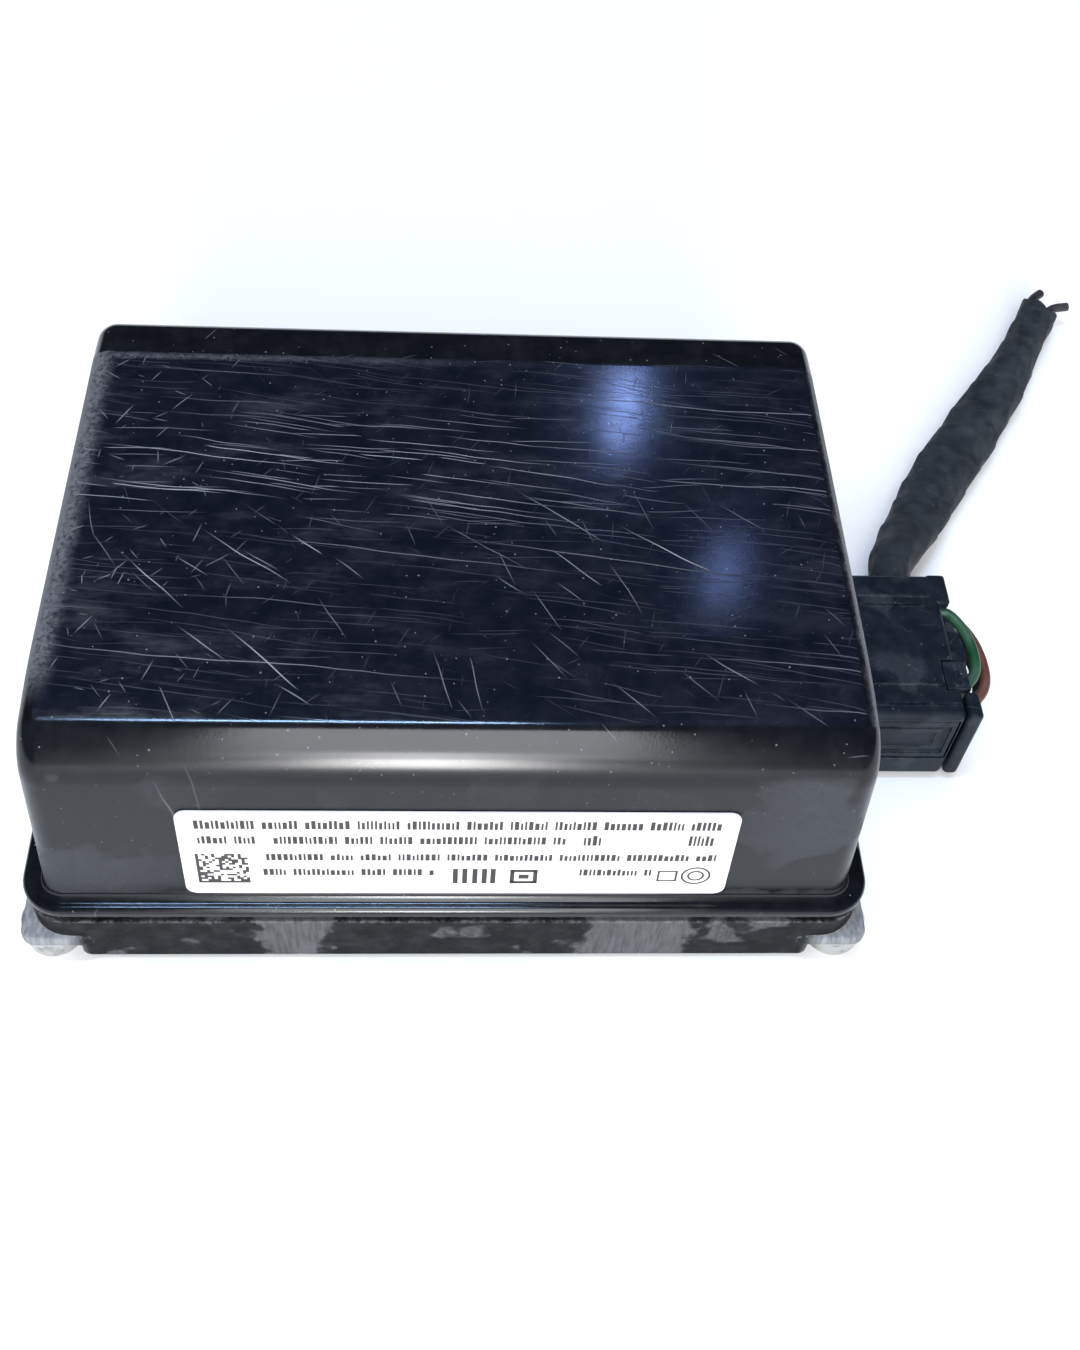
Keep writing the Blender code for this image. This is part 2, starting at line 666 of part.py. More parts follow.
def build_waveguide(mats, floor):
    """Radio board, its shield, the dielectric rod beside the drum, the reflector and the grid."""
    board_y = (0.0020, 0.0032)
    board = box((-0.034, 0.034), board_y, (floor + GAP, 0.0345))
    make_object("radio_board", board, mats["board"])
    shield = box((-0.018, 0.018), (-0.0040, board_y[0] - GAP), (0.020, 0.031), 0.0004)
    make_object("radio_shield", shield, mats["steel"])
    rod_y = (board_y[1] + GAP, DRUM_Y - DRUM_RADIUS - GAP)
    rod = box((-0.0335, 0.0335), rod_y, (DRUM_Z - 0.001, DRUM_Z + 0.001))
    make_object("dielectric_rod", rod, mats["rod"])
    reflector = box((-0.046, 0.046), (-0.014, 0.014), (-0.0006, 0.0006))
    tilt = Matrix.Rotation(math.radians(8), 4, "X")
    reflector.transform(Matrix.Translation((0, -0.021, 0.0225)) @ tilt)
    make_object("twist_reflector", reflector, mats["steel"])
    grid = rounded_rect((-0.050, 0.050), (-0.031, 0.031), 0.002, 3)
    make_object("polariser_grid", slab(grid, 0.0440, 0.0448), mats["rod"])


def drum_profile():
    """Turned section of the drum: rings of shallow grooves whose pitch widens along it."""
    x0, x1 = DRUM_X
    bore = SHAFT_RADIUS + GAP
    grooves = 10
    depth = 0.0008
    points = [(bore, x0), (DRUM_RADIUS, x0)]
    for index in range(grooves):
        share = (index + 0.5) / grooves
        middle = x0 + (x1 - x0) * (0.75 * share + 0.25 * share * share)
        for offset, radius in ((-0.0012, 0), (-0.0008, depth), (0.0008, depth), (0.0012, 0)):
            points.append((DRUM_RADIUS - radius, middle + offset))
    return points + [(DRUM_RADIUS, x1), (bore, x1)]


def build_drum(mats):
    """The spinning pieces, all on the drum's axis."""
    axis = make_pivot("drum_axis", (0.0, DRUM_Y, DRUM_Z))
    place = axis.location
    make_object("scan_drum", turned(drum_profile(), place, "X", 20), mats["drum"], axis)
    shaft = ((0.0, -0.049), (0.0015, -0.049), (SHAFT_RADIUS, -0.0485))
    shaft += ((SHAFT_RADIUS, 0.0485), (0.0015, 0.049), (0.0, 0.049))
    make_object("drum_shaft", turned(shaft, place, "X", 16), mats["steel"], axis)
    bore = SHAFT_RADIUS + GAP
    magnet = ((bore, -0.0423), (0.0077, -0.0423), (0.0077, -0.0367), (bore, -0.0367))
    make_object("rotor_magnet", turned(magnet, place, "X"), mats["magnet"], axis)
    disc_ring = ((bore, 0.0385), (0.0078, 0.0385), (0.0078, 0.0395), (bore, 0.0395))
    make_object("encoder_disc", turned(disc_ring, place, "X"), mats["steel"], axis)


def build_plug(mats):
    """Plug housing with its tongue and wire chamber, back cover and seal."""
    pivot = make_pivot("plug_slide", (PLUG_X[0], PLUG_MID_Y, sum(HEADER_Z) / 2))
    body = box(PLUG_X, PLUG_Y, PLUG_Z, 0.0009)
    housing = make_object("plug_housing", body, mats["plug"], pivot)
    socket_end = HEADER_END + 0.0013
    socket = box((0.055, socket_end), header_y(GAP), header_z(GAP))
    cut(housing, "plug_socket", socket, pivot)
    tongue_y = header_y(-HEADER_WALL - GAP)
    tongue_z = header_z(-HEADER_WALL - GAP)
    tongue = box((PLUG_X[0] + 0.0004, socket_end + 0.001), tongue_y, tongue_z)
    add(housing, "plug_tongue", tongue, pivot)
    cut(housing, "terminal_holes", merged(pin_boxes((0.058, 0.0675), PIN_SIZE + 2 * GAP)), pivot)
    cut(housing, "wire_chamber", box((0.0665, 0.090), (-0.0080, 0.0125), (0.0122, 0.0158)), pivot)
    recess_z = (LATCH_Z[0] - GAP, LATCH_Z[1] + GAP)
    recess = box((0.055, LATCH_END + GAP), (-0.020, LATCH_FLOOR), recess_z)
    cut(housing, "latch_recess", recess, pivot)
    slot = box((0.055, 0.0660), (-0.013, header_y(0)[0] + 0.001), (0.0055, 0.0093))
    cut(housing, "catch_slot", slot, pivot)
    add(housing, "plug_top_lip", box((0.0780, 0.0812), (0.0098, 0.0157), (0.0162, 0.0182), 0.0005), pivot)
    pocket = box((0.0770, 0.090), (LOCK_Y[0] - GAP, LOCK_Y[1] + GAP), (LOCK_Z[0] - GAP, 0.030))
    cut(housing, "lock_pocket", pocket, pivot)
    build_cover(mats, pivot)
    seal_x = (HEADER_END + GAP, socket_end - GAP)
    seal = make_object("plug_seal", box(seal_x, header_y(-0.0001), header_z(-0.0001)), mats["seal"], pivot)
    cut(seal, "plug_seal_core", box((0.060, 0.080), header_y(-0.0011), header_z(-0.0011)), pivot)
    return pivot


def build_cover(mats, pivot):
    """The cover behind the plug: a tall block on the -Y side and a low sill under the wires."""
    x = (PLUG_X[1] + GAP, PLUG_BACK_END)
    block = box(x, (PLUG_Y[0], -0.0076), PLUG_Z, 0.0007)
    cover = make_object("wire_cover", block, mats["plug"], pivot)
    sill = box((x[0], x[1] - 0.0006), (-0.0090, PLUG_Y[1]), (PLUG_Z[0] + 0.0004, 0.0042), 0.0005)
    add(cover, "wire_cover_sill", sill, pivot)


def build_latch(mats, plug):
    """A rocking latch: a framed pad outside its pivot and a hook inside it."""
    pivot = make_pivot("latch_axis", (LATCH_PIVOT_X, LATCH_PIVOT_Y, sum(LATCH_Z) / 2))
    thin = box((LATCH_START, LATCH_END), (PLUG_Y[0], LATCH_PIVOT_Y), LATCH_Z, 0.0002)
    arm = make_object("latch_arm", thin, mats["plug"], pivot)
    dish = box((0.0700, 0.0771), (-0.014, PLUG_Y[0] + 0.0004), (0.0082, 0.0148))
    cut(arm, "latch_dish", dish, pivot)
    hook_y = (-0.0120, header_y(0)[0] - 0.0012)
    hook = box((LATCH_START, LATCH_START + 0.0012), hook_y, (0.0066, 0.0088))
    add(arm, "latch_hook", hook, pivot)
    fix_parent(pivot, plug)


def fix_parent(child, parent):
    """Parents an empty and keeps its place in the world."""
    child.location = child.location - parent.location
    child.parent = parent


def build_lock(mats, plug):
    pivot = make_pivot("lock_slide_rest", (0.0795, sum(LOCK_Y) / 2, sum(LOCK_Z) / 2))
    slide = box((0.0773, 0.0812), LOCK_Y, LOCK_Z, 0.0003)
    lock = make_object("lock_slide", slide, mats["plug"], pivot)
    add(lock, "lock_grip", box((0.0800, 0.0806), (-0.0066, -0.0024), (0.0175, 0.0182)), pivot)
    fix_parent(pivot, plug)


def smooth_path(points, spacing):
    """Points read at even steps from the smooth curve through points."""
    knots = [Vector(point) for point in points]
    knots = [2 * knots[0] - knots[1], *knots, 2 * knots[-1] - knots[-2]]
    fine = []
    for a, b, c, d in zip(knots, knots[1:], knots[2:], knots[3:]):
        for step in range(20):
            t = step / 20
            bend = (2 * a - 5 * b + 4 * c - d) * t * t + (3 * b - a - 3 * c + d) * t**3
            fine.append((2 * b + (c - a) * t + bend) / 2)
    fine.append(knots[-2])
    lengths = [0.0]
    for before, after in zip(fine, fine[1:]):
        lengths.append(lengths[-1] + (after - before).length)
    count = max(2, round(lengths[-1] / spacing))
    path = []
    for index in range(count + 1):
        target = lengths[-1] * index / count
        at = max(1, next(k for k, length in enumerate(lengths) if length >= target - 1e-9))
        share = (target - lengths[at - 1]) / (lengths[at] - lengths[at - 1])
        path.append(fine[at - 1].lerp(fine[at], share))
    return path


def cord(name, points, radius, spacing, mat, parent):
    """A closed round tube along a smooth curve."""
    curve = bpy.data.curves.new(name, "CURVE")
    curve.dimensions = "3D"
    curve.bevel_depth = radius
    curve.bevel_resolution = 2
    curve.use_fill_caps = True
    path = smooth_path(points, spacing)
    spline = curve.splines.new("POLY")
    spline.points.add(len(path) - 1)
    for slot, point in zip(spline.points, path):
        slot.co = (*(point - parent.location), 1.0)
    curve.materials.append(mat)
    obj = bpy.data.objects.new(name, curve)
    bpy.context.scene.collection.objects.link(obj)
    obj.parent = parent


def wire_route(start_y, end_y, z, bulge):
    """An arch out of the back of the plug and in again further along it."""
    back = PLUG_X[1] + 2 * GAP
    span = end_y - start_y
    rise = 0.0008
    shape = ((0.0, 0.0), (0.05, 0.52), (0.22, 0.92), (0.46, 1.0), (0.72, 0.84), (0.93, 0.44), (1.0, 0.0))
    return [(back + bulge * out, start_y + span * along, z + rise * along) for along, out in shape]


def build_harness(mats, plug):
    """The wires behind the plug, the taped stub and the wire ends that stick out of its cut end."""
    for name, (mat, start, end, z, bulge) in WIRE_ROUTES.items():
        cord(name, wire_route(start, end, z, bulge), WIRE_RADIUS, 0.0016, mats[mat], plug)
    cord("harness_stub", STUB_ROUTE, STUB_RADIUS, 0.0035, mats["tape"], plug)
    end = Vector(STUB_ROUTE[-1])
    along = (end - Vector(STUB_ROUTE[-2])).normalized()
    across = Vector((along.y, -along.x, 0.0))
    for index, (side, rise, reach, turn) in enumerate(CUT_ENDS, 1):
        start = end + along * 2 * GAP + across * side + Vector((0, 0, rise))
        middle = start + along * reach * 0.5 + across * turn * 0.3
        tip = start + along * reach + across * turn
        cord(f"cut_wire_{index}", (start, middle, tip), WIRE_RADIUS, 0.0012, mats["plug"], plug)


def make_materials():
    table = {
        "radome": ((0.012, 0.014, 0.022), 0.14, 0.0),
        "casting": ((0.035, 0.036, 0.040), 0.45, 0.3),
        "steel": ((0.60, 0.60, 0.60), 0.35, 1.0),
        "aluminium": ((0.55, 0.56, 0.58), 0.40, 1.0),
        "copper": ((0.72, 0.36, 0.20), 0.40, 1.0),
        "magnet": ((0.06, 0.06, 0.07), 0.35, 0.6),
        "drum": ((0.70, 0.70, 0.72), 0.30, 1.0),
        "label": ((0.80, 0.80, 0.80), 0.45, 0.0),
        "board": ((0.03, 0.16, 0.08), 0.45, 0.0),
        "chip": ((0.03, 0.03, 0.03), 0.50, 0.0),
        "pad": ((0.42, 0.45, 0.50), 0.80, 0.0),
        "rod": ((0.78, 0.76, 0.70), 0.50, 0.0),
        "vent": ((0.05, 0.05, 0.05), 0.60, 0.0),
        "rubber": ((0.04, 0.04, 0.045), 0.80, 0.0),
        "seal": ((0.60, 0.18, 0.08), 0.60, 0.0),
        "pin": ((0.78, 0.70, 0.50), 0.30, 1.0),
        "plastic": ((0.04, 0.042, 0.05), 0.50, 0.0),
        "plug": ((0.055, 0.06, 0.075), 0.50, 0.0),
        "tape": ((0.05, 0.055, 0.065), 0.70, 0.0),
        "green": ((0.04, 0.22, 0.09), 0.45, 0.0),
        "brown": ((0.25, 0.11, 0.07), 0.45, 0.0),
        "grey": ((0.25, 0.25, 0.26), 0.45, 0.0),
    }
    return {name: material(name, *values) for name, values in table.items()}


def main():
    clear_scene()
    mats = make_materials()
    build_base(mats)
    build_seal(mats)
    build_radome(mats)
    build_bosses(mats)
    build_vent(mats)
    build_label(mats)
    build_electronics(mats)
    build_header(mats)
    build_antenna(mats)
    build_drum(mats)
    plug = build_plug(mats)
    build_latch(mats, plug)
    build_lock(mats, plug)
    build_harness(mats, plug)
    for obj in bpy.data.objects:
        if not obj.parent:
            obj.location.x -= ORIGIN_X


main()
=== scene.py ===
"""Looks of a scanning radar sensor with a cut harness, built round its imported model."""

import json
import logging
import math
import random
from collections.abc import Callable, Iterable, Sequence
from dataclasses import dataclass, field
from enum import Enum

import bmesh
import bpy
from mathutils import Matrix, Vector


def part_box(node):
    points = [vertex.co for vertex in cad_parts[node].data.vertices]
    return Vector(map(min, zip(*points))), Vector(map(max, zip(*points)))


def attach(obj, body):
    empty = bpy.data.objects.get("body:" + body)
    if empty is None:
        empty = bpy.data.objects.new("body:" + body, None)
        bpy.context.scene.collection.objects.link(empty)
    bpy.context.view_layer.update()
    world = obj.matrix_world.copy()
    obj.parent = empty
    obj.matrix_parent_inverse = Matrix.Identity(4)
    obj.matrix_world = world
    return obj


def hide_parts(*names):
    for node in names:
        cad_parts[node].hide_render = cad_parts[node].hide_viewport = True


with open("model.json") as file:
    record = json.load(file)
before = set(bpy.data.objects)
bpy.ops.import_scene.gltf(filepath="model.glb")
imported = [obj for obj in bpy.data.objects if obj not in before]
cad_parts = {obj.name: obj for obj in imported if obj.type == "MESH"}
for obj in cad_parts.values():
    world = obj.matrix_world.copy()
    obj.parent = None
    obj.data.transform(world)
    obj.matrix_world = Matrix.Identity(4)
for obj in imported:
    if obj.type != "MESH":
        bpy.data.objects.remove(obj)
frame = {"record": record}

LOG = logging.getLogger("sensor")
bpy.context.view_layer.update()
MM = 0.001

Colour = tuple[float, float, float]
Socket = bpy.types.NodeSocket
Value = Socket | float | tuple[float, ...]
Span = tuple[float, float]
Point = tuple[float, float, float]
Box = tuple[Point, Point]
QUARTER = math.pi / 2


def housing_centre() -> Vector:
    """The middle of the housing in plan, from which the sizes below are measured."""
    low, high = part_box("base_casting")
    return Vector(((low.x + high.x) / 2, (low.y + high.y) / 2, 0.0))


CENTRE = housing_centre()


# ---------------------------------------------------------------------------------------- meshes


class Joining(Enum):
    """How one solid is combined with another."""

    CUT = "DIFFERENCE"
    FUSE = "UNION"


def loft(rings: Sequence[Sequence[Vector]], closed_ends: bool = True) -> bmesh.types.BMesh:
    """Skin through rings of equal length.

    Args:
        rings: Loops of points, in order along the piece.
        closed_ends: Whether the first and last ring are filled.

    Returns:
        A new mesh with its faces pointing out.
    """
    bm = bmesh.new()
    loops = [[bm.verts.new(point) for point in ring] for ring in rings]
    count = len(loops[0])
    for low, high in zip(loops, loops[1:]):
        for i in range(count):
            j = (i + 1) % count
            bm.faces.new((low[i], low[j], high[j], high[i]))
    if closed_ends:
        bm.faces.new(loops[0][::-1])
        bm.faces.new(loops[-1])
    bmesh.ops.recalc_face_normals(bm, faces=bm.faces)
    return bm


def rounded_rect(low: Vector, high: Vector, radius: float, steps: int = 10) -> list[Vector]:
    """Flat outline of a rounded rectangle.

    Args:
        low: Lowest corner.
        high: Highest corner.
        radius: Corner radius.
        steps: Segments in each corner.

    Returns:
        The outline's points, anticlockwise, with z at 0.
    """
    inner_low = Vector((low.x + radius, low.y + radius, 0.0))
    inner_high = Vector((high.x - radius, high.y - radius, 0.0))
    centres = (
        inner_high,
        Vector((inner_low.x, inner_high.y, 0.0)),
        inner_low,
        Vector((inner_high.x, inner_low.y, 0.0)),
    )
    points = []
    for quarter, centre in enumerate(centres):
        for step in range(steps + 1):
            angle = (quarter + step / steps) * QUARTER
            points.append(centre + radius * Vector((math.cos(angle), math.sin(angle), 0.0)))
    return points


def centred_rect(half_x: float, half_y: float, radius: float, steps: int = 10) -> list[Vector]:
    """Outline of a rounded rectangle round the housing's middle."""
    half = Vector((half_x, half_y, 0.0))
    return rounded_rect(CENTRE - half, CENTRE + half, radius, steps)


def at_height(outline: Iterable[Vector], z: float) -> list[Vector]:
    """The outline lifted to a height."""
    return [Vector((point.x, point.y, z)) for point in outline]


def turned(profile: Sequence[tuple[float, float]], place: Vector, segments: int = 64) -> bmesh.types.BMesh:
    """Solid turned about the vertical through a place.

    Args:
        profile: Radius and height of each point, from the axis and back to it.
        place: Where the axis and height 0 are.
        segments: Steps round the axis.

    Returns:
        A new closed mesh.
    """
    bm = bmesh.new()
    rings = []
    for radius, height in profile[1:-1]:
        angles = (2 * math.pi * step / segments for step in range(segments))
        ring = [place + Vector((radius * math.cos(a), radius * math.sin(a), height)) for a in angles]
        rings.append([bm.verts.new(point) for point in ring])
    ends = [bm.verts.new(place + Vector((0.0, 0.0, profile[k][1]))) for k in (0, -1)]
    for step in range(segments):
        after = (step + 1) % segments
        for low, high in zip(rings, rings[1:]):
            bm.faces.new((low[step], low[after], high[after], high[step]))
        bm.faces.new((ends[0], rings[0][after], rings[0][step]))
        bm.faces.new((ends[1], rings[-1][step], rings[-1][after]))
    bmesh.ops.recalc_face_normals(bm, faces=bm.faces)
    return bm


def block(low: Point, high: Point, bevel: float = 0.0, steps: int = 3) -> bmesh.types.BMesh:
    """Box between two corners, measured from the housing's middle.

    Args:
        low: Lowest corner.
        high: Highest corner.
        bevel: Radius of the rounded edges, or 0 for sharp ones.
        steps: Segments in each rounded edge.

    Returns:
        A new closed mesh.
    """
    bm = bmesh.new()
    size = Vector(high) - Vector(low)
    middle = (Vector(high) + Vector(low)) / 2 + CENTRE
    bmesh.ops.create_cube(bm, size=1.0, matrix=Matrix.Translation(middle) @ Matrix.Diagonal((*size, 1.0)))
    if bevel:
        rounding = {"offset": bevel, "segments": steps, "profile": 0.5, "clamp_overlap": True}
        bmesh.ops.bevel(bm, geom=bm.edges[:], affect="EDGES", **rounding)
    return bm


def as_object(name: str, bm: bmesh.types.BMesh) -> bpy.types.Object:
    """The mesh as an object of the scene, standing at the origin."""
    mesh = bpy.data.meshes.new(name)
    bm.to_mesh(mesh)
    bm.free()
    obj = bpy.data.objects.new(name, mesh)
    bpy.context.scene.collection.objects.link(obj)
    return obj


def combine(obj: bpy.types.Object, other: bmesh.types.BMesh, joining: Joining) -> None:
    """Cuts a solid from an object, or joins it on, and keeps only the result.

    Args:
        obj: The object to change.
        other: The solid, which is used up.
        joining: Which of the two is done.
    """
    helper = as_object("helper", other)
    modifier = obj.modifiers.new("combine", "BOOLEAN")
    modifier.operation = joining.value
    modifier.object = helper
    graph = bpy.context.evaluated_depsgraph_get()
    mesh = bpy.data.meshes.new_from_object(obj.evaluated_get(graph))
    obj.modifiers.clear()
    old = obj.data
    obj.data = mesh
    mesh.name = obj.name
    bpy.data.meshes.remove(old)
    bpy.data.objects.remove(helper)


def smooth(obj: bpy.types.Object, angle: float = 32.0, weighted: bool = True) -> None:
    """Shades an object smooth with sharp edges kept.

    Args:
        obj: The object.
        angle: Edges that turn more than this many degrees stay sharp.
        weighted: Whether large faces decide the normals, which keeps them flat.
    """
    obj.data.shade_smooth()
    obj.data.set_sharp_from_angle(angle=math.radians(angle))
    if weighted:
        modifier = obj.modifiers.new("flat_faces", "WEIGHTED_NORMAL")
        modifier.keep_sharp = True
        modifier.weight = 90


def smooth_path(points: Sequence[Vector], spacing: float) -> list[Vector]:
    """Points at even steps along the smooth curve through some points.

    Args:
        points: What the curve passes through.
        spacing: Wanted distance between the points that come back.

    Returns:
        The points, from the first to the last of those given.
    """
    knots = [2 * points[0] - points[1], *points, 2 * points[-1] - points[-2]]
    fine = []
    for a, b, c, d in zip(knots, knots[1:], knots[2:], knots[3:]):
        for step in range(20):
            t = step / 20
            bend = (2 * a - 5 * b + 4 * c - d) * t * t + (3 * b - a - 3 * c + d) * t**3
            fine.append((2 * b + (c - a) * t + bend) / 2)
    fine.append(knots[-2])
    lengths = [0.0]
    for before, after in zip(fine, fine[1:]):
        lengths.append(lengths[-1] + (after - before).length)
    count = max(2, round(lengths[-1] / spacing))
    path = []
    for index in range(count + 1):
        target = lengths[-1] * index / count
        at = max(1, next(k for k, length in enumerate(lengths) if length >= target - 1e-9))
        share = (target - lengths[at - 1]) / (lengths[at] - lengths[at - 1])
        path.append(fine[at - 1].lerp(fine[at], share))
    return path


def path_frames(path: Sequence[Vector]) -> list[tuple[Vector, Vector, Vector]]:
    """Direction, level side and rise at each point of a path."""
    frames = []
    for index in range(len(path)):
        before = path[max(0, index - 1)]
        after = path[min(len(path) - 1, index + 1)]
        along = (after - before).normalized()
        side = along.cross(Vector((0.0, 0.0, 1.0))).normalized()
        frames.append((along, side, side.cross(along).normalized()))
    return frames


def tube(
    path: Sequence[Vector], section: Callable[[float, float], tuple[float, float]], sides: int
) -> bmesh.types.BMesh:
    """Closed tube along a path.

    Args:
        path: The ring centres.
        section: Gives the reach to the side and upwards for a share of the length and an angle.
        sides: Points round each ring.

    Returns:
        A new closed mesh.
    """
    rings = []
    for index, (point, (_, side, rise)) in enumerate(zip(path, path_frames(path))):
        share = index / (len(path) - 1)
        ring = []
        for step in range(sides):
            angle = 2 * math.pi * step / sides
            out, up = section(share, angle)
            ring.append(point + side * out + rise * up)
        rings.append(ring)
    return loft(rings)


# ------------------------------------------------------------------------------------- node trees


def opaque(value: Value) -> Value:
    """A plain colour with its fourth number, or a link as it is."""
    return (*value, 1.0) if isinstance(value, tuple) else value


def scaled(colour: Colour, factor: float) -> Colour:
    """A colour made lighter or darker."""
    return tuple(factor * part for part in colour)


@dataclass
class Graph:
    """Short calls for laying out a shader node tree."""

    tree: bpy.types.NodeTree

    def node(self, kind: str, **settings: object) -> bpy.types.Node:
        """A new node with some of its settings changed."""
        made = self.tree.nodes.new(kind)
        for name, value in settings.items():
            setattr(made, name, value)
        return made

    def feed(self, value: Value | None, socket: Socket) -> None:
        """Links a socket or sets a plain value on it. None leaves it as it is."""
        if isinstance(value, bpy.types.NodeSocket):
            self.tree.links.new(value, socket)
        elif value is not None:
            socket.default_value = value

    def math(
        self, operation: str, a: Value, b: Value | None = None, c: Value | None = None, clamp: bool = False
    ) -> Socket:
        """Result of a Math node."""
        made = self.node("ShaderNodeMath", operation=operation, use_clamp=clamp)
        for value, socket in zip((a, b, c), made.inputs):
            self.feed(value, socket)
        return made.outputs[0]

    def times(self, *values: Value) -> Socket:
        """Product of two or more numbers."""
        result = values[0]
        for value in values[1:]:
            result = self.math("MULTIPLY", result, value)
        return result

    def plus(self, a: Value, b: Value) -> Socket:
        """Sum of two numbers."""
        return self.math("ADD", a, b)

    def minus(self, a: Value, b: Value) -> Socket:
        """The first number less the second."""
        return self.math("SUBTRACT", a, b)

    def vector(self, operation: str, a: Value, b: Value | None = None) -> Socket:
        """Result of a Vector Math node, its number where the operation gives one."""
        made = self.node("ShaderNodeVectorMath", operation=operation)
        if operation == "SCALE":
            self.feed(a, made.inputs[0])
            self.feed(b, made.inputs["Scale"])
        else:
            for value, socket in zip((a, b), made.inputs):
                self.feed(value, socket)
        return made.outputs["Value" if operation in ("DOT_PRODUCT", "LENGTH") else "Vector"]

    def parts(self, vector: Socket) -> tuple[Socket, Socket, Socket]:
        """The three numbers of a vector."""
        made = self.node("ShaderNodeSeparateXYZ")
        self.feed(vector, made.inputs[0])
        return made.outputs[0], made.outputs[1], made.outputs[2]

    def joined(self, x: Value, y: Value, z: Value = 0.0) -> Socket:
        """A vector from three numbers."""
        made = self.node("ShaderNodeCombineXYZ")
        for value, socket in zip((x, y, z), made.inputs):
            self.feed(value, socket)
        return made.outputs[0]

    def ramp(
        self, value: Value, low: Value, high: Value, to_low: Value = 0.0, to_high: Value = 1.0
    ) -> Socket:
        """Smooth step of a number from one range to another, clamped."""
        made = self.node("ShaderNodeMapRange", interpolation_type="SMOOTHSTEP")
        names = ("Value", "From Min", "From Max", "To Min", "To Max")
        for given, name in zip((value, low, high, to_low, to_high), names):
            self.feed(given, made.inputs[name])
        return made.outputs["Result"]

    def noise(self, vector: Value, scale: Value, detail: float = 4.0, roughness: float = 0.55) -> Socket:
        """Fractal noise from 0 to 1."""
        made = self.node("ShaderNodeTexNoise")
        self.feed(vector, made.inputs["Vector"])
        self.feed(scale, made.inputs["Scale"])
        made.inputs["Detail"].default_value = detail
        made.inputs["Roughness"].default_value = roughness
        return made.outputs[0]

    def mix(self, share: Value, a: Value, b: Value) -> Socket:
        """Mix of two colours."""
        made = self.node("ShaderNodeMix", data_type="RGBA")
        self.feed(share, made.inputs["Factor"])
        for value, socket in ((a, made.inputs[6]), (b, made.inputs[7])):
            self.feed(opaque(value), socket)
        return made.outputs[2]

    def most(self, values: Sequence[Socket]) -> Socket:
        """The largest of several numbers."""
        result = values[0]
        for value in values[1:]:
            result = self.math("MAXIMUM", result, value)
        return result


class Effect(Enum):
    """Surface effects that several finishes share."""

    STROKES = "stroke_field"
    GRAIN = "grain"
    WEAR = "edge_wear"
    DUST = "dust_film"
    PATCHES = "smear_patches"


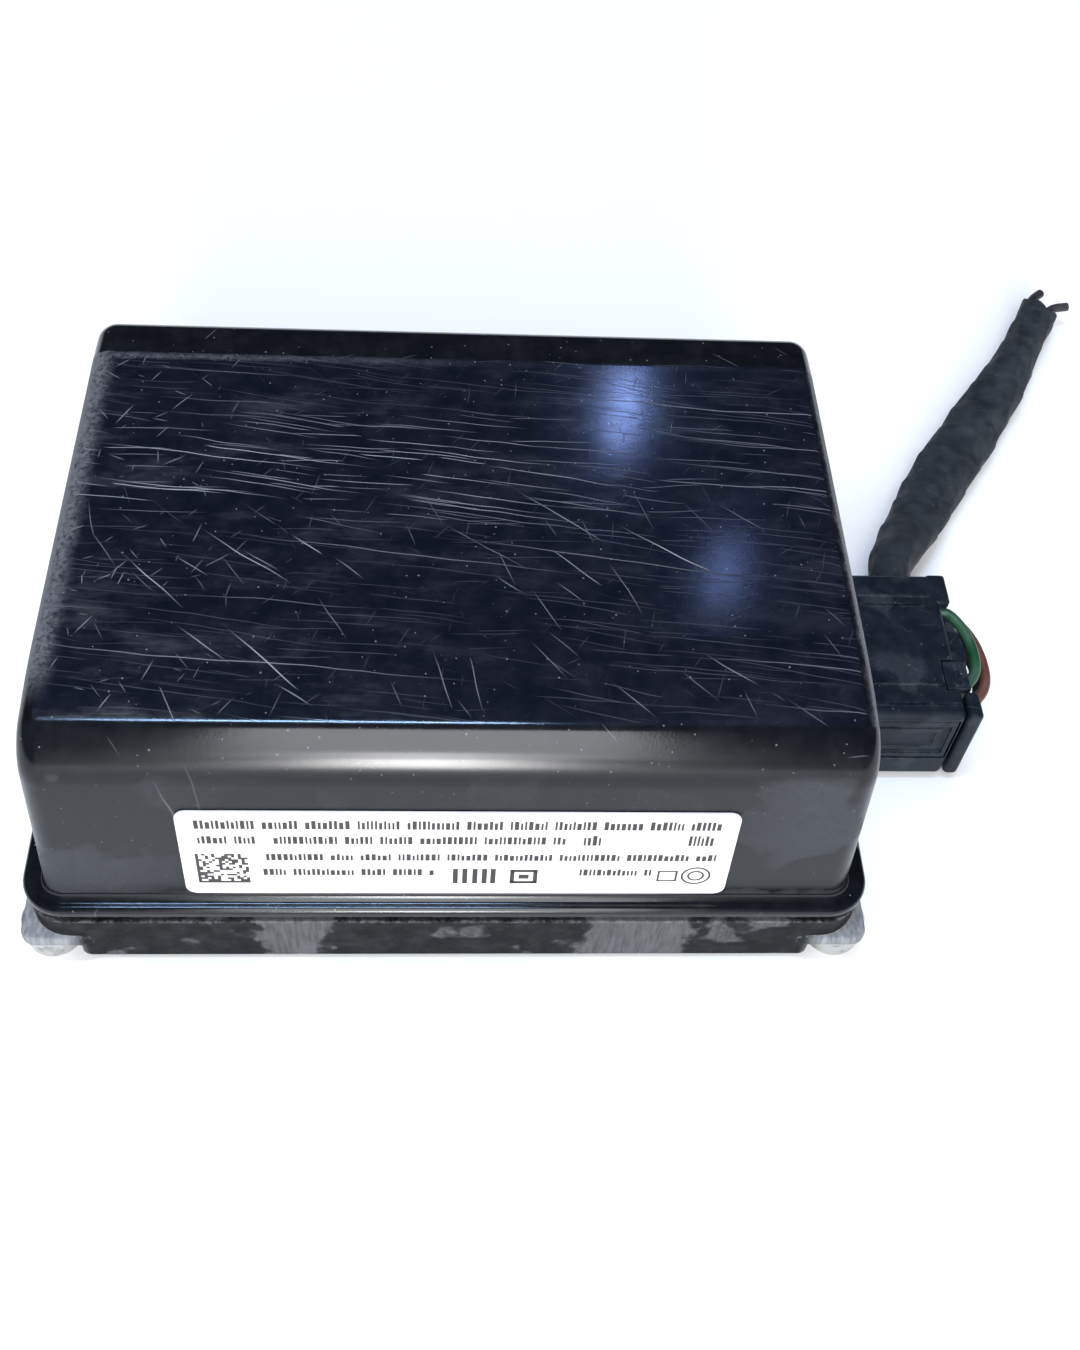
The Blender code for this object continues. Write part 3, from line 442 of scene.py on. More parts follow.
@dataclass
class EffectLibrary:
    """Builds each shared node group once."""

    made: dict[Effect, bpy.types.NodeTree] = field(default_factory=dict)

    def tree(self, effect: Effect) -> bpy.types.NodeTree:
        """The node group of an effect."""
        if effect not in self.made:
            builders = {
                Effect.STROKES: self.strokes,
                Effect.GRAIN: self.grain,
                Effect.WEAR: self.wear,
                Effect.DUST: self.dust,
                Effect.PATCHES: self.patches,
            }
            self.made[effect] = builders[effect](effect.value)
        return self.made[effect]

    def use(self, graph: Graph, effect: Effect, **values: Value) -> Socket:
        """Places an effect in a material.

        Args:
            graph: The material's tree.
            effect: Which effect.
            **values: Values or links for its inputs, by name with _ for a space.

        Returns:
            The effect's output.
        """
        made = graph.node("ShaderNodeGroup", node_tree=self.tree(effect))
        for name, value in values.items():
            graph.feed(value, made.inputs[name.replace("_", " ")])
        return made.outputs[0]

    @staticmethod
    def start(name: str, output: str, numbers: dict[str, float]) -> tuple[Graph, dict[str, Socket], Socket]:
        """A new group with a Vector input and some numbers.

        Args:
            name: Name of the group.
            output: Name of its one output, a number.
            numbers: Its number inputs and what they start at.

        Returns:
            The tree, its inputs by name and the socket that its result goes to.
        """
        tree = bpy.data.node_groups.new(name, "ShaderNodeTree")
        tree.interface.new_socket("Vector", in_out="INPUT", socket_type="NodeSocketVector")
        for label, default in numbers.items():
            socket = tree.interface.new_socket(label, in_out="INPUT", socket_type="NodeSocketFloat")
            socket.default_value = default
        tree.interface.new_socket(output, in_out="OUTPUT", socket_type="NodeSocketFloat")
        graph = Graph(tree)
        given = graph.node("NodeGroupInput")
        result = graph.node("NodeGroupOutput")
        inputs = {socket.name: socket for socket in given.outputs if socket.name}
        return graph, inputs, result.inputs[0]

    def strokes(self, name: str) -> bpy.types.NodeTree:
        """Separate straight scratches, one in each cell of a stretched pattern."""
        numbers = {"Angle": 0.0, "Spread": 0.1, "Length": 20.0, "Width": 0.12, "Spacing": 4.0, "Share": 0.5}
        numbers["Seed"] = 0.0
        graph, given, result = self.start(name, "Mask", numbers)
        sway = graph.noise(graph.vector("ADD", given["Vector"], graph.joined(given["Seed"], 0.0)), 0.05, 2.0)
        turn = graph.node("ShaderNodeVectorRotate", rotation_type="Z_AXIS")
        graph.feed(given["Vector"], turn.inputs["Vector"])
        graph.feed(graph.times(given["Angle"], -1.0), turn.inputs["Angle"])
        x, y, _ = graph.parts(turn.outputs[0])
        y = graph.plus(y, graph.times(sway, 2.2))
        cell = graph.joined(
            graph.plus(graph.math("DIVIDE", x, given["Length"]), given["Seed"]),
            graph.plus(graph.math("DIVIDE", y, given["Spacing"]), given["Seed"]),
        )
        pattern = graph.node("ShaderNodeTexVoronoi", voronoi_dimensions="2D", feature="F1")
        graph.feed(cell, pattern.inputs["Vector"])
        pattern.inputs["Scale"].default_value = 1.0
        away = graph.vector("SUBTRACT", cell, pattern.outputs["Position"])
        away = graph.vector("MULTIPLY", away, graph.joined(given["Length"], given["Spacing"]))
        tilt, reach, chance = graph.parts(pattern.outputs["Color"])
        swing = graph.node("ShaderNodeVectorRotate", rotation_type="Z_AXIS")
        graph.feed(away, swing.inputs["Vector"])
        centred = graph.times(graph.minus(tilt, 0.5), 2.0)
        graph.feed(graph.times(centred, given["Spread"]), swing.inputs["Angle"])
        along, across, _ = graph.parts(swing.outputs[0])
        along = graph.math("ABSOLUTE", along)
        across = graph.math("ABSOLUTE", across)
        half = graph.times(given["Length"], graph.math("MULTIPLY_ADD", reach, 0.35, 0.12))
        thin = graph.ramp(across, given["Width"], graph.times(given["Width"], 0.25))
        ends = graph.ramp(along, half, graph.times(half, 0.15))
        kept = graph.math("LESS_THAN", chance, given["Share"])
        faded = graph.math("MULTIPLY_ADD", reach, 0.6, 0.4)
        graph.feed(graph.times(thin, ends, kept, faded), result)
        return graph.tree

    def grain(self, name: str) -> bpy.types.NodeTree:
        """Fine even roughness of a moulded or coated surface."""
        graph, given, result = self.start(name, "Height", {"Scale": 4.0, "Coarse": 0.3})
        fine = graph.noise(given["Vector"], given["Scale"], 3.0)
        broad = graph.noise(given["Vector"], graph.times(given["Scale"], 0.12), 2.0)
        fine_part = graph.times(fine, graph.minus(1.0, given["Coarse"]))
        graph.feed(graph.plus(fine_part, graph.times(broad, given["Coarse"])), result)
        return graph.tree

    def wear(self, name: str) -> bpy.types.NodeTree:
        """Rubbed edges, where the rounded normal leaves the true one, broken up by noise."""
        graph, given, result = self.start(name, "Mask", {"Radius": 0.0006, "Amount": 1.0, "Scale": 1.2})
        rounded = graph.node("ShaderNodeBevel", samples=4)
        graph.feed(given["Radius"], rounded.inputs["Radius"])
        true = graph.node("ShaderNodeNewGeometry")
        facing = graph.vector("DOT_PRODUCT", rounded.outputs[0], true.outputs["Normal"])
        bare = graph.ramp(graph.minus(1.0, facing), 0.01, 0.16)
        broken = graph.ramp(graph.noise(given["Vector"], given["Scale"], 5.0, 0.65), 0.42, 0.62)
        bare = graph.times(bare, broken)
        graph.feed(graph.math("MULTIPLY", bare, given["Amount"], clamp=True), result)
        return graph.tree

    def dust(self, name: str) -> bpy.types.NodeTree:
        """Thin pale film with specks, thicker on faces that look up."""
        graph, given, result = self.start(name, "Mask", {"Scale": 0.25, "Amount": 0.3, "Specks": 0.5})
        normal = graph.node("ShaderNodeNewGeometry").outputs["Normal"]
        level = graph.ramp(graph.parts(normal)[2], -0.3, 1.0, 0.35, 1.0)
        cloud = graph.ramp(graph.noise(given["Vector"], given["Scale"], 5.0, 0.6), 0.35, 0.75)
        dots = graph.node("ShaderNodeTexVoronoi", feature="F1")
        graph.feed(given["Vector"], dots.inputs["Vector"])
        dots.inputs["Scale"].default_value = 0.75
        size = graph.times(graph.parts(dots.outputs["Color"])[0], 0.11)
        speck = graph.times(graph.math("LESS_THAN", dots.outputs["Distance"], size), given["Specks"])
        film = graph.times(cloud, level, given["Amount"])
        graph.feed(graph.math("MAXIMUM", film, graph.times(speck, level), clamp=True), result)
        return graph.tree

    def patches(self, name: str) -> bpy.types.NodeTree:
        """Rubbed or smeared areas with fairly firm edges."""
        graph, given, result = self.start(name, "Mask", {"Scale": 0.06, "Level": 0.55, "Softness": 0.05})
        field_level = graph.noise(given["Vector"], given["Scale"], 3.0, 0.45)
        high = graph.plus(given["Level"], given["Softness"])
        area = graph.ramp(field_level, given["Level"], high)
        mottle = graph.noise(given["Vector"], graph.times(given["Scale"], 14.0), 4.0)
        texture = graph.ramp(mottle, 0.25, 0.65, 0.45, 1.0)
        graph.feed(graph.times(area, texture), result)
        return graph.tree


EFFECTS = EffectLibrary()


# ---------------------------------------------------------------------------------------- finishes


class Slot(Enum):
    """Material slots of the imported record."""

    RADOME = "radome"
    BASE = "base_casting"
    RUBBER = "rubber"
    LABEL = "label"
    STEEL = "steel"
    VENT = "vent"
    BOARD = "circuit_board"
    CHIP = "chip"
    ALUMINIUM = "aluminium"
    PAD = "thermal_pad"
    HEADER = "header_plastic"
    CONTACT = "contact"
    STATOR = "stator"
    MAGNET = "magnet"
    DIELECTRIC = "dielectric"
    PLUG = "plug_plastic"
    PLUG_SEAL = "plug_seal"
    WIRE_GREEN = "wire_green"
    WIRE_BROWN = "wire_brown"
    WIRE_DARK = "wire_dark"
    WIRE_GREY = "wire_grey"
    TAPE = "harness_tape"


@dataclass
class Surface:
    """A material while its nodes are being laid."""

    graph: Graph
    shader: bpy.types.Node
    place: Socket
    normal: Socket

    def colour(self, value: Value) -> None:
        """Feeds the base colour."""
        self.graph.feed(opaque(value), self.shader.inputs["Base Color"])

    def rough(self, value: Value) -> None:
        """Feeds the roughness."""
        self.graph.feed(value, self.shader.inputs["Roughness"])

    def bump(self, height: Value, distance: float, strength: float = 1.0) -> None:
        """Feeds the normal from a height, with its depth in metres."""
        made = self.graph.node("ShaderNodeBump")
        made.inputs["Strength"].default_value = strength
        made.inputs["Distance"].default_value = distance
        self.graph.feed(height, made.inputs["Height"])
        self.graph.feed(made.outputs[0], self.shader.inputs["Normal"])


@dataclass(frozen=True)
class Finish:
    """An even surface with fine grain, and the base of the other finishes."""

    name: str
    base: Colour
    roughness: float = 0.5
    metallic: float = 0.0
    grain: float = 4.0
    depth: float = 0.00002
    dust: float = 0.0
    specular: float = 0.5

    def build(self) -> bpy.types.Material:
        """The finish as a new material."""
        mat = bpy.data.materials.new(self.name)
        mat.use_nodes = True
        graph = Graph(mat.node_tree)
        shader = mat.node_tree.nodes["Principled BSDF"]
        shader.inputs["Metallic"].default_value = self.metallic
        shader.inputs["Specular IOR Level"].default_value = self.specular
        place = graph.node("ShaderNodeTexCoord").outputs["Object"]
        place = graph.vector("SCALE", graph.vector("SUBTRACT", place, tuple(CENTRE)), 1 / MM)
        normal = graph.node("ShaderNodeNewGeometry").outputs["Normal"]
        self.lay(Surface(graph, shader, place, normal))
        return mat

    def lay(self, surface: Surface) -> None:
        """Colour with a little variation, dust and grain."""
        graph = surface.graph
        cloud = graph.noise(surface.place, 0.35, 4.0)
        pale = tuple(min(1.0, 1.35 * part + 0.004) for part in self.base)
        colour = graph.mix(graph.ramp(cloud, 0.35, 0.7), self.base, pale)
        if self.dust:
            film = EFFECTS.use(graph, Effect.DUST, Vector=surface.place, Amount=self.dust, Specks=self.dust)
            colour = graph.mix(film, colour, (0.30, 0.31, 0.32))
        surface.colour(colour)
        surface.rough(graph.ramp(cloud, 0.2, 0.8, self.roughness * 0.85, min(1.0, self.roughness * 1.15)))
        surface.bump(EFFECTS.use(graph, Effect.GRAIN, Vector=surface.place, Scale=self.grain), self.depth)


@dataclass(frozen=True)
class Scratches:
    """One family of scratches: how long, how wide and which way they run."""

    angle: float
    spread: float
    length: float
    width: float
    spacing: float
    share: float
    seed: float

    def mask(self, graph: Graph, place: Socket) -> Socket:
        """The scratches on the plane of the first two coordinates, in millimetres."""
        return EFFECTS.use(
            graph,
            Effect.STROKES,
            Vector=place,
            Angle=math.radians(self.angle),
            Spread=math.radians(self.spread),
            Length=self.length,
            Width=self.width,
            Spacing=self.spacing,
            Share=self.share,
            Seed=self.seed,
        )


@dataclass(frozen=True)
class GlossCover(Finish):
    """Moulded glossy black with a painted navy reflection in the top's colour, scratched on top, rubbed along
    the rim and dusty down the walls.

    Places are in millimetres from the housing's middle.
    """

    half_x: float = 55.6
    far_ridge: float = 31.5
    wall_colour: Colour = (0.0035, 0.0042, 0.0058)
    scratch_colour: Colour = (0.30, 0.31, 0.34)
    rim_colour: Colour = (0.13, 0.135, 0.15)
    film_colour: Colour = (0.030, 0.033, 0.038)
    hairlines: Scratches = Scratches(-6.0, 4.0, 90.0, 0.11, 3.0, 0.36, 3.7)
    fine: Scratches = Scratches(-9.0, 5.0, 40.0, 0.10, 0.9, 0.62, 11.3)
    finer: Scratches = Scratches(-4.0, 7.0, 26.0, 0.09, 0.7, 0.5, 83.9)
    slanting: Scratches = Scratches(-38.0, 7.0, 24.0, 0.12, 2.2, 0.34, 23.1)
    steep: Scratches = Scratches(-60.0, 16.0, 12.0, 0.10, 3.6, 0.26, 31.9)
    nicks: Scratches = Scratches(58.0, 30.0, 5.5, 0.11, 2.8, 0.28, 43.3)
    curls: Scratches = Scratches(25.0, 85.0, 4.0, 0.10, 2.2, 0.34, 57.7)
    rubs: Scratches = Scratches(4.0, 60.0, 9.0, 0.10, 4.0, 0.3, 71.0)

    def top_scratches(self, graph: Graph, place: Socket) -> Socket:
        """Everything scratched into the top, from long hairlines to short nicks."""
        x, y, _ = graph.parts(place)
        near = graph.ramp(y, 8.0, -6.0)
        middle = graph.ramp(graph.math("ABSOLUTE", graph.minus(y, 9.0)), 13.0, 5.0)
        left = graph.ramp(x, -14.0, -52.0)
        middle = graph.times(middle, graph.ramp(x, 28.0, 0.0, 0.3, 1.0))
        cluster = graph.ramp(graph.noise(place, 0.055, 2.0), 0.45, 0.6)
        families = (
            (self.hairlines, 0.5),
            (self.finer, graph.times(graph.math("MULTIPLY_ADD", middle, 0.8, 0.15), 0.7)),
            (self.fine, graph.times(graph.math("MULTIPLY_ADD", middle, 0.85, 0.12), 0.95)),
            (self.slanting, graph.times(near, cluster)),
            (self.steep, graph.times(graph.math("MULTIPLY_ADD", near, 0.6, 0.05), 0.6)),
            (self.nicks, graph.times(graph.math("MULTIPLY_ADD", left, 0.75, 0.12), 0.7)),
            (self.curls, graph.times(graph.math("MULTIPLY_ADD", left, 0.8, 0.05), 0.6)),
        )
        return graph.most([graph.times(family.mask(graph, place), weight) for family, weight in families])

    def rim(self, graph: Graph, place: Socket) -> Socket:
        """The rubbed band along the far ridge and the two ends."""
        x, y, _ = graph.parts(place)
        ragged = graph.math("MULTIPLY_ADD", graph.noise(place, 0.45, 5.0, 0.65), 2.2, -1.1)
        off_ridge = graph.plus(graph.minus(y, self.far_ridge - 0.5), graph.times(ragged, 0.5))
        far = graph.ramp(graph.math("ABSOLUTE", off_ridge), 1.0, 0.1)
        far = graph.times(far, graph.ramp(x, 10.0, -50.0, 0.03, 0.45))
        shifted = graph.plus(x, ragged)
        left = graph.times(
            graph.ramp(shifted, 4.6 - self.half_x, 1.2 - self.half_x), graph.ramp(y, -32.0, -24.0)
        )
        right = graph.times(graph.ramp(shifted, self.half_x - 1.9, self.half_x - 0.3), 0.6)
        before_ridge = graph.ramp(y, self.far_ridge + 0.5, self.far_ridge + 0.1)
        past_crease = graph.ramp(y, -33.6, -32.6)
        speckle = graph.ramp(graph.noise(place, 1.6, 4.0, 0.7), 0.32, 0.62, 0.25, 1.0)
        return graph.times(graph.most([far, left, right]), before_ridge, past_crease, speckle)

    def haze(self, graph: Graph, place: Socket) -> Socket:
        """Cloudy scuffing that thickens towards the left end."""
        x, _, _ = graph.parts(place)
        stretched = graph.vector("MULTIPLY", place, (0.35, 1.0, 1.0))
        cloud = graph.ramp(graph.noise(stretched, 0.16, 6.0, 0.68), 0.48, 0.78)
        return graph.times(cloud, graph.ramp(x, 30.0, -56.0, 0.25, 1.0))

    def wall_film(self, graph: Graph, place: Socket) -> Socket:
        """Dried film on the walls, heavier just above the flange."""
        x, _, z = graph.parts(place)
        smears = EFFECTS.use(graph, Effect.PATCHES, Vector=place, Scale=0.075, Level=0.50, Softness=0.06)
        smears = graph.times(smears, graph.ramp(graph.math("ABSOLUTE", x), 34.0, 48.0, 0.12, 0.9))
        level = graph.plus(z, graph.times(graph.noise(place, 0.5, 4.0), 3.0))
        foot = graph.ramp(level, 18.6, 16.8, 0.0, 0.75)
        return graph.math("MAXIMUM", smears, foot)

    def lay(self, surface: Surface) -> None:
        """Lays the top, shoulder and wall looks by which way the surface faces."""
        graph = surface.graph
        place = surface.place
        up = graph.parts(surface.normal)[2]
        _, y, z = graph.parts(place)
        before_ridge = graph.ramp(y, self.far_ridge + 0.4, self.far_ridge + 0.1)
        top = graph.times(graph.ramp(up, 0.93, 0.975), graph.ramp(z, 44.0, 46.0), before_ridge)
        wall = graph.times(graph.ramp(up, 0.42, 0.18), graph.ramp(z, 14.9, 15.2))
        scratched = graph.times(self.top_scratches(graph, place), top)
        rim = self.rim(graph, place)
        haze = graph.times(self.haze(graph, place), top)
        film = graph.times(self.wall_film(graph, place), wall)
        specks = EFFECTS.use(graph, Effect.DUST, Vector=place, Scale=0.3, Amount=0.02, Specks=0.45)
        rubs = graph.times(self.rubs.mask(graph, place), graph.minus(1.0, top), 0.25)
        # Painted reflection: faces that look up take the navy base colour, which stands in for the blue lamps
        # mirrored in the top; the walls keep the plain black of wall_colour.
        colour = graph.mix(top, self.wall_colour, self.base)
        colour = graph.mix(graph.times(haze, 0.11), colour, self.scratch_colour)
        colour = graph.mix(film, colour, self.film_colour)
        colour = graph.mix(graph.times(specks, 0.8), colour, self.scratch_colour)
        colour = graph.mix(scratched, colour, self.scratch_colour)
        colour = graph.mix(rubs, colour, self.scratch_colour)
        colour = graph.mix(rim, colour, self.rim_colour)
        surface.colour(colour)
        sheen = graph.ramp(up, 0.30, 0.975, 0.25, self.roughness)
        rough = graph.math("MULTIPLY_ADD", haze, 0.22, sheen)
        rough = graph.math("MULTIPLY_ADD", film, 0.35, rough)
        rough = graph.math("MULTIPLY_ADD", graph.math("MAXIMUM", scratched, rim), 0.5, rough, clamp=True)
        surface.rough(rough)
        fine = EFFECTS.use(graph, Effect.GRAIN, Vector=place, Scale=2.6, Coarse=0.5)
        height = graph.minus(graph.times(fine, 0.35), scratched)
        surface.bump(height, 0.00002)


@dataclass(frozen=True)
class CastCoat(Finish):
    """Black coating on a die casting, with rubbed grey edges and dried grey patches.

    Each window is the middle and the half width, in millimetres, of a rubbed area on the side walls.
    """

    patch_colour: Colour = (0.15, 0.15, 0.16)
    bare_colour: Colour = (0.26, 0.27, 0.28)
    windows: tuple[Span, ...] = ((-22.5, 5.5), (27.0, 8.5))

    def lay(self, surface: Surface) -> None:
        """Coating, patches where it was rubbed and bare metal on the edges."""
        graph = surface.graph
        place = surface.place
        x, _, z = graph.parts(place)
        ragged = graph.math("MULTIPLY_ADD", graph.noise(place, 0.25, 4.0), 9.0, -4.5)
        shifted = graph.plus(x, ragged)
        windows = []
        for middle, half in self.windows:
            away = graph.math("ABSOLUTE", graph.minus(shifted, middle))
            windows.append(graph.ramp(away, half, half - 1.4))
        smears = EFFECTS.use(graph, Effect.PATCHES, Vector=place, Scale=0.11, Level=0.58, Softness=0.05)
        drawn_out = graph.vector("MULTIPLY", place, (3.0, 1.0, 0.3))
        streaks = graph.ramp(graph.noise(drawn_out, 0.6, 5.0), 0.25, 0.7, 0.5, 1.0)
        patch = graph.times(graph.most([*windows, smears]), streaks)
        off_middle = graph.math("ABSOLUTE", x)
        ear = graph.times(graph.ramp(off_middle, 51.5, 54.0), graph.ramp(z, 7.4, 7.0))
        bare = EFFECTS.use(graph, Effect.WEAR, Vector=place, Radius=0.0007, Amount=0.9, Scale=0.9)
        cloud = graph.ramp(graph.noise(place, 0.3, 5.0), 0.4, 0.7)
        colour = graph.mix(cloud, self.base, scaled(self.base, 1.9))
        colour = graph.mix(graph.times(patch, 0.62), colour, self.patch_colour)
        bare = graph.math("MAXIMUM", bare, graph.times(ear, streaks))
        colour = graph.mix(bare, colour, self.bare_colour)
        specks = EFFECTS.use(graph, Effect.DUST, Vector=place, Scale=0.4, Amount=0.10, Specks=0.30)
        surface.colour(graph.mix(specks, colour, self.bare_colour))
        dull = graph.ramp(cloud, 0.0, 1.0, self.roughness, self.roughness + 0.12)
        surface.rough(graph.math("MULTIPLY_ADD", patch, 0.2, dull))
        surface.bump(EFFECTS.use(graph, Effect.GRAIN, Vector=place, Scale=3.2, Coarse=0.2), 0.00007)


@dataclass(frozen=True)
class BareMetal(Finish):
    """Machined metal with turning marks and dull spots."""

    stain: Colour = (0.20, 0.19, 0.18)

    def lay(self, surface: Surface) -> None:
        """Fine level marks, dull spots and uneven gloss."""
        graph = surface.graph
        lines = graph.noise(graph.vector("MULTIPLY", surface.place, (0.25, 0.25, 6.0)), 3.0, 3.0)
        spots = EFFECTS.use(graph, Effect.PATCHES, Vector=surface.place, Scale=0.5, Level=0.56, Softness=0.12)
        tone = graph.mix(graph.ramp(lines, 0.3, 0.7), self.base, scaled(self.base, 0.72))
        surface.colour(graph.mix(graph.times(spots, 0.55), tone, self.stain))
        dull = graph.ramp(lines, 0.2, 0.8, self.roughness, self.roughness + 0.15)
        surface.rough(graph.math("MULTIPLY_ADD", spots, 0.3, dull))
        surface.bump(lines, 0.00002)


@dataclass(frozen=True)
class MouldedPlastic(Finish):
    """Satin moulded plastic with spark texture, rubbed edges and dust."""

    edge_colour: Colour = (0.05, 0.056, 0.066)

    def lay(self, surface: Surface) -> None:
        """Texture, lighter rubbed edges, scuffs and dust."""
        graph = surface.graph
        place = surface.place
        edge = EFFECTS.use(graph, Effect.WEAR, Vector=place, Radius=0.0005, Amount=0.75, Scale=0.8)
        scuffs = Scratches(12.0, 70.0, 6.0, 0.12, 2.8, 0.3, 5.0).mask(graph, place)
        smears = EFFECTS.use(graph, Effect.PATCHES, Vector=place, Scale=0.16, Level=0.53, Softness=0.09)
        cloud = graph.ramp(graph.noise(place, 0.35, 4.0), 0.35, 0.7)
        colour = graph.mix(cloud, self.base, scaled(self.base, 1.45))
        colour = graph.mix(graph.times(smears, 0.35), colour, self.edge_colour)
        rubbed = graph.math("MAXIMUM", edge, graph.times(scuffs, 0.5))
        colour = graph.mix(rubbed, colour, self.edge_colour)
        film = EFFECTS.use(graph, Effect.DUST, Vector=place, Scale=0.4, Amount=self.dust, Specks=0.4)
        surface.colour(graph.mix(film, colour, (0.20, 0.21, 0.22)))
        surface.rough(graph.math("MULTIPLY_ADD", smears, 0.15, self.roughness))
        surface.bump(EFFECTS.use(graph, Effect.GRAIN, Vector=place, Scale=self.grain, Coarse=0.15), 0.00006)


@dataclass(frozen=True)
class ClothTape(Finish):
    """Woven harness tape, fuzzy and dusty."""

    thread: float = 1.7

    def lay(self, surface: Surface) -> None:
        """A plain weave with pale fluff and rubbed crowns."""
        graph = surface.graph
        x, y, z = graph.parts(surface.place)
        warp = graph.math("SINE", graph.times(graph.plus(x, z), self.thread * math.tau))
        weft = graph.math("SINE", graph.times(graph.minus(y, z), self.thread * math.tau))
        weave = graph.math("MULTIPLY_ADD", graph.times(warp, weft), 0.5, 0.5)
        cloud = graph.ramp(graph.noise(surface.place, 0.22, 5.0), 0.38, 0.68)
        colour = graph.mix(cloud, self.base, scaled(self.base, 2.1))
        colour = graph.mix(graph.times(weave, 0.35), colour, scaled(self.base, 0.5))
        place = surface.place
        fluff = EFFECTS.use(graph, Effect.DUST, Vector=place, Scale=0.5, Amount=self.dust, Specks=0.35)
        surface.colour(graph.mix(fluff, colour, (0.24, 0.24, 0.23)))
        surface.rough(graph.ramp(cloud, 0.0, 1.0, self.roughness, 0.92))
        height = graph.plus(graph.times(weave, 0.5), graph.noise(surface.place, 1.8, 4.0))
        surface.bump(height, 0.00009)


@dataclass(frozen=True)
class LabelFilm(Finish):
    """Printed white film, a little yellowed and scuffed."""

    def lay(self, surface: Surface) -> None:
        """White with faint stains, handling marks and an uneven gloss."""
        graph = surface.graph
        stain = EFFECTS.use(graph, Effect.PATCHES, Vector=surface.place, Scale=0.2, Level=0.56, Softness=0.12)
        soft = graph.ramp(graph.noise(surface.place, 0.08, 3.0), 0.3, 0.75)
        colour = graph.mix(soft, self.base, scaled(self.base, 0.9))
        colour = graph.mix(graph.times(stain, 0.22), colour, (0.52, 0.50, 0.47))
        marks = EFFECTS.use(graph, Effect.DUST, Vector=surface.place, Scale=0.5, Amount=0.0, Specks=0.5)
        surface.colour(graph.mix(graph.times(marks, 0.6), colour, (0.25, 0.22, 0.2)))
        surface.rough(graph.ramp(soft, 0.0, 1.0, self.roughness, self.roughness + 0.15))
        surface.bump(graph.noise(surface.place, 1.5, 2.0), 0.00001)


@dataclass(frozen=True)
class CircuitBoard(Finish):
    """Solder mask with faint tracks under it."""

    track_colour: Colour = (0.06, 0.26, 0.13)

    def lay(self, surface: Surface) -> None:
        """Tracks that run along and across under an even coat."""
        graph = surface.graph
        pattern = graph.node("ShaderNodeTexBrick")
        graph.feed(surface.place, pattern.inputs["Vector"])
        pattern.inputs["Scale"].default_value = 0.35
        pattern.inputs["Mortar Size"].default_value = 0.06
        surface.colour(graph.mix(pattern.outputs["Fac"], self.base, self.track_colour))
        cloud = graph.noise(surface.place, 0.5)
        surface.rough(graph.ramp(cloud, 0.2, 0.8, self.roughness, self.roughness + 0.1))
        surface.bump(pattern.outputs["Fac"], 0.00003)


INK = Finish("label_ink", (0.018, 0.016, 0.016), roughness=0.45)
FINISHES: dict[Slot, Finish] = {
    # The radome's navy base colour is a painted reflection of blue lamps on its top; the cover's own black is
    # its wall colour.
    Slot.RADOME: GlossCover("gloss_cover", (0.0036, 0.0048, 0.0105), roughness=0.10, specular=0.32),
    Slot.BASE: CastCoat("cast_coat", (0.005, 0.0053, 0.006), roughness=0.6, specular=0.08),
    Slot.RUBBER: Finish("sealant", (0.012, 0.012, 0.013), roughness=0.8),
    Slot.LABEL: LabelFilm("label_film", (0.80, 0.78, 0.775), roughness=0.38),
    Slot.STEEL: BareMetal("bare_steel", (0.62, 0.62, 0.60), roughness=0.26, metallic=1.0),
    Slot.VENT: Finish("vent_plastic", (0.03, 0.03, 0.03), roughness=0.6),
    Slot.BOARD: CircuitBoard("solder_mask", (0.02, 0.13, 0.06), roughness=0.35),
    Slot.CHIP: Finish("chip_epoxy", (0.02, 0.02, 0.021), roughness=0.5, grain=7.0),
    Slot.ALUMINIUM: BareMetal("bare_aluminium", (0.62, 0.63, 0.65), roughness=0.33, metallic=1.0),
    Slot.PAD: Finish("thermal_filler", (0.36, 0.39, 0.44), roughness=0.85),
    Slot.HEADER: MouldedPlastic("header_plastic", (0.016, 0.018, 0.022), roughness=0.5, grain=5.0),
    Slot.CONTACT: BareMetal("tinned_brass", (0.78, 0.72, 0.55), roughness=0.25, metallic=1.0),
    Slot.STATOR: BareMetal("wound_copper", (0.70, 0.32, 0.16), roughness=0.35, metallic=1.0),
    Slot.MAGNET: BareMetal("magnet_metal", (0.20, 0.20, 0.21), roughness=0.4, metallic=1.0),
    Slot.DIELECTRIC: Finish("natural_polymer", (0.72, 0.69, 0.61), roughness=0.45),
    Slot.PLUG: MouldedPlastic(
        "plug_plastic", (0.0045, 0.007, 0.011), roughness=0.45, grain=5.0, dust=0.03, specular=0.14
    ),
    Slot.PLUG_SEAL: Finish("silicone", (0.50, 0.13, 0.05), roughness=0.6),
    Slot.WIRE_GREEN: Finish("green_insulation", (0.006, 0.045, 0.018), roughness=0.38, dust=0.12),
    Slot.WIRE_BROWN: Finish("brown_insulation", (0.075, 0.022, 0.012), roughness=0.38, dust=0.12),
    Slot.WIRE_DARK: Finish("black_insulation", (0.014, 0.014, 0.016), roughness=0.42, dust=0.12),
    Slot.WIRE_GREY: Finish("grey_insulation", (0.12, 0.12, 0.125), roughness=0.42, dust=0.12),
    Slot.TAPE: ClothTape("cloth_tape", (0.008, 0.011, 0.014), roughness=0.62, dust=0.05),
}


@dataclass
class FinishBook:
    """Builds each finish's material once and puts it on pieces."""

    made: dict[Finish, bpy.types.Material] = field(default_factory=dict)

    def material(self, finish: Finish) -> bpy.types.Material:
        """The material of a finish."""
        if finish not in self.made:
            self.made[finish] = finish.build()
        return self.made[finish]

    def dress(self, obj: bpy.types.Object, slot: Slot, finish: Finish | None = None) -> None:
        """Gives an object the finish of a slot, or another finish that stands in that slot."""
        obj.data.materials.clear()
        obj.data.materials.append(self.material(finish or FINISHES[slot]))


BOOK = FinishBook()


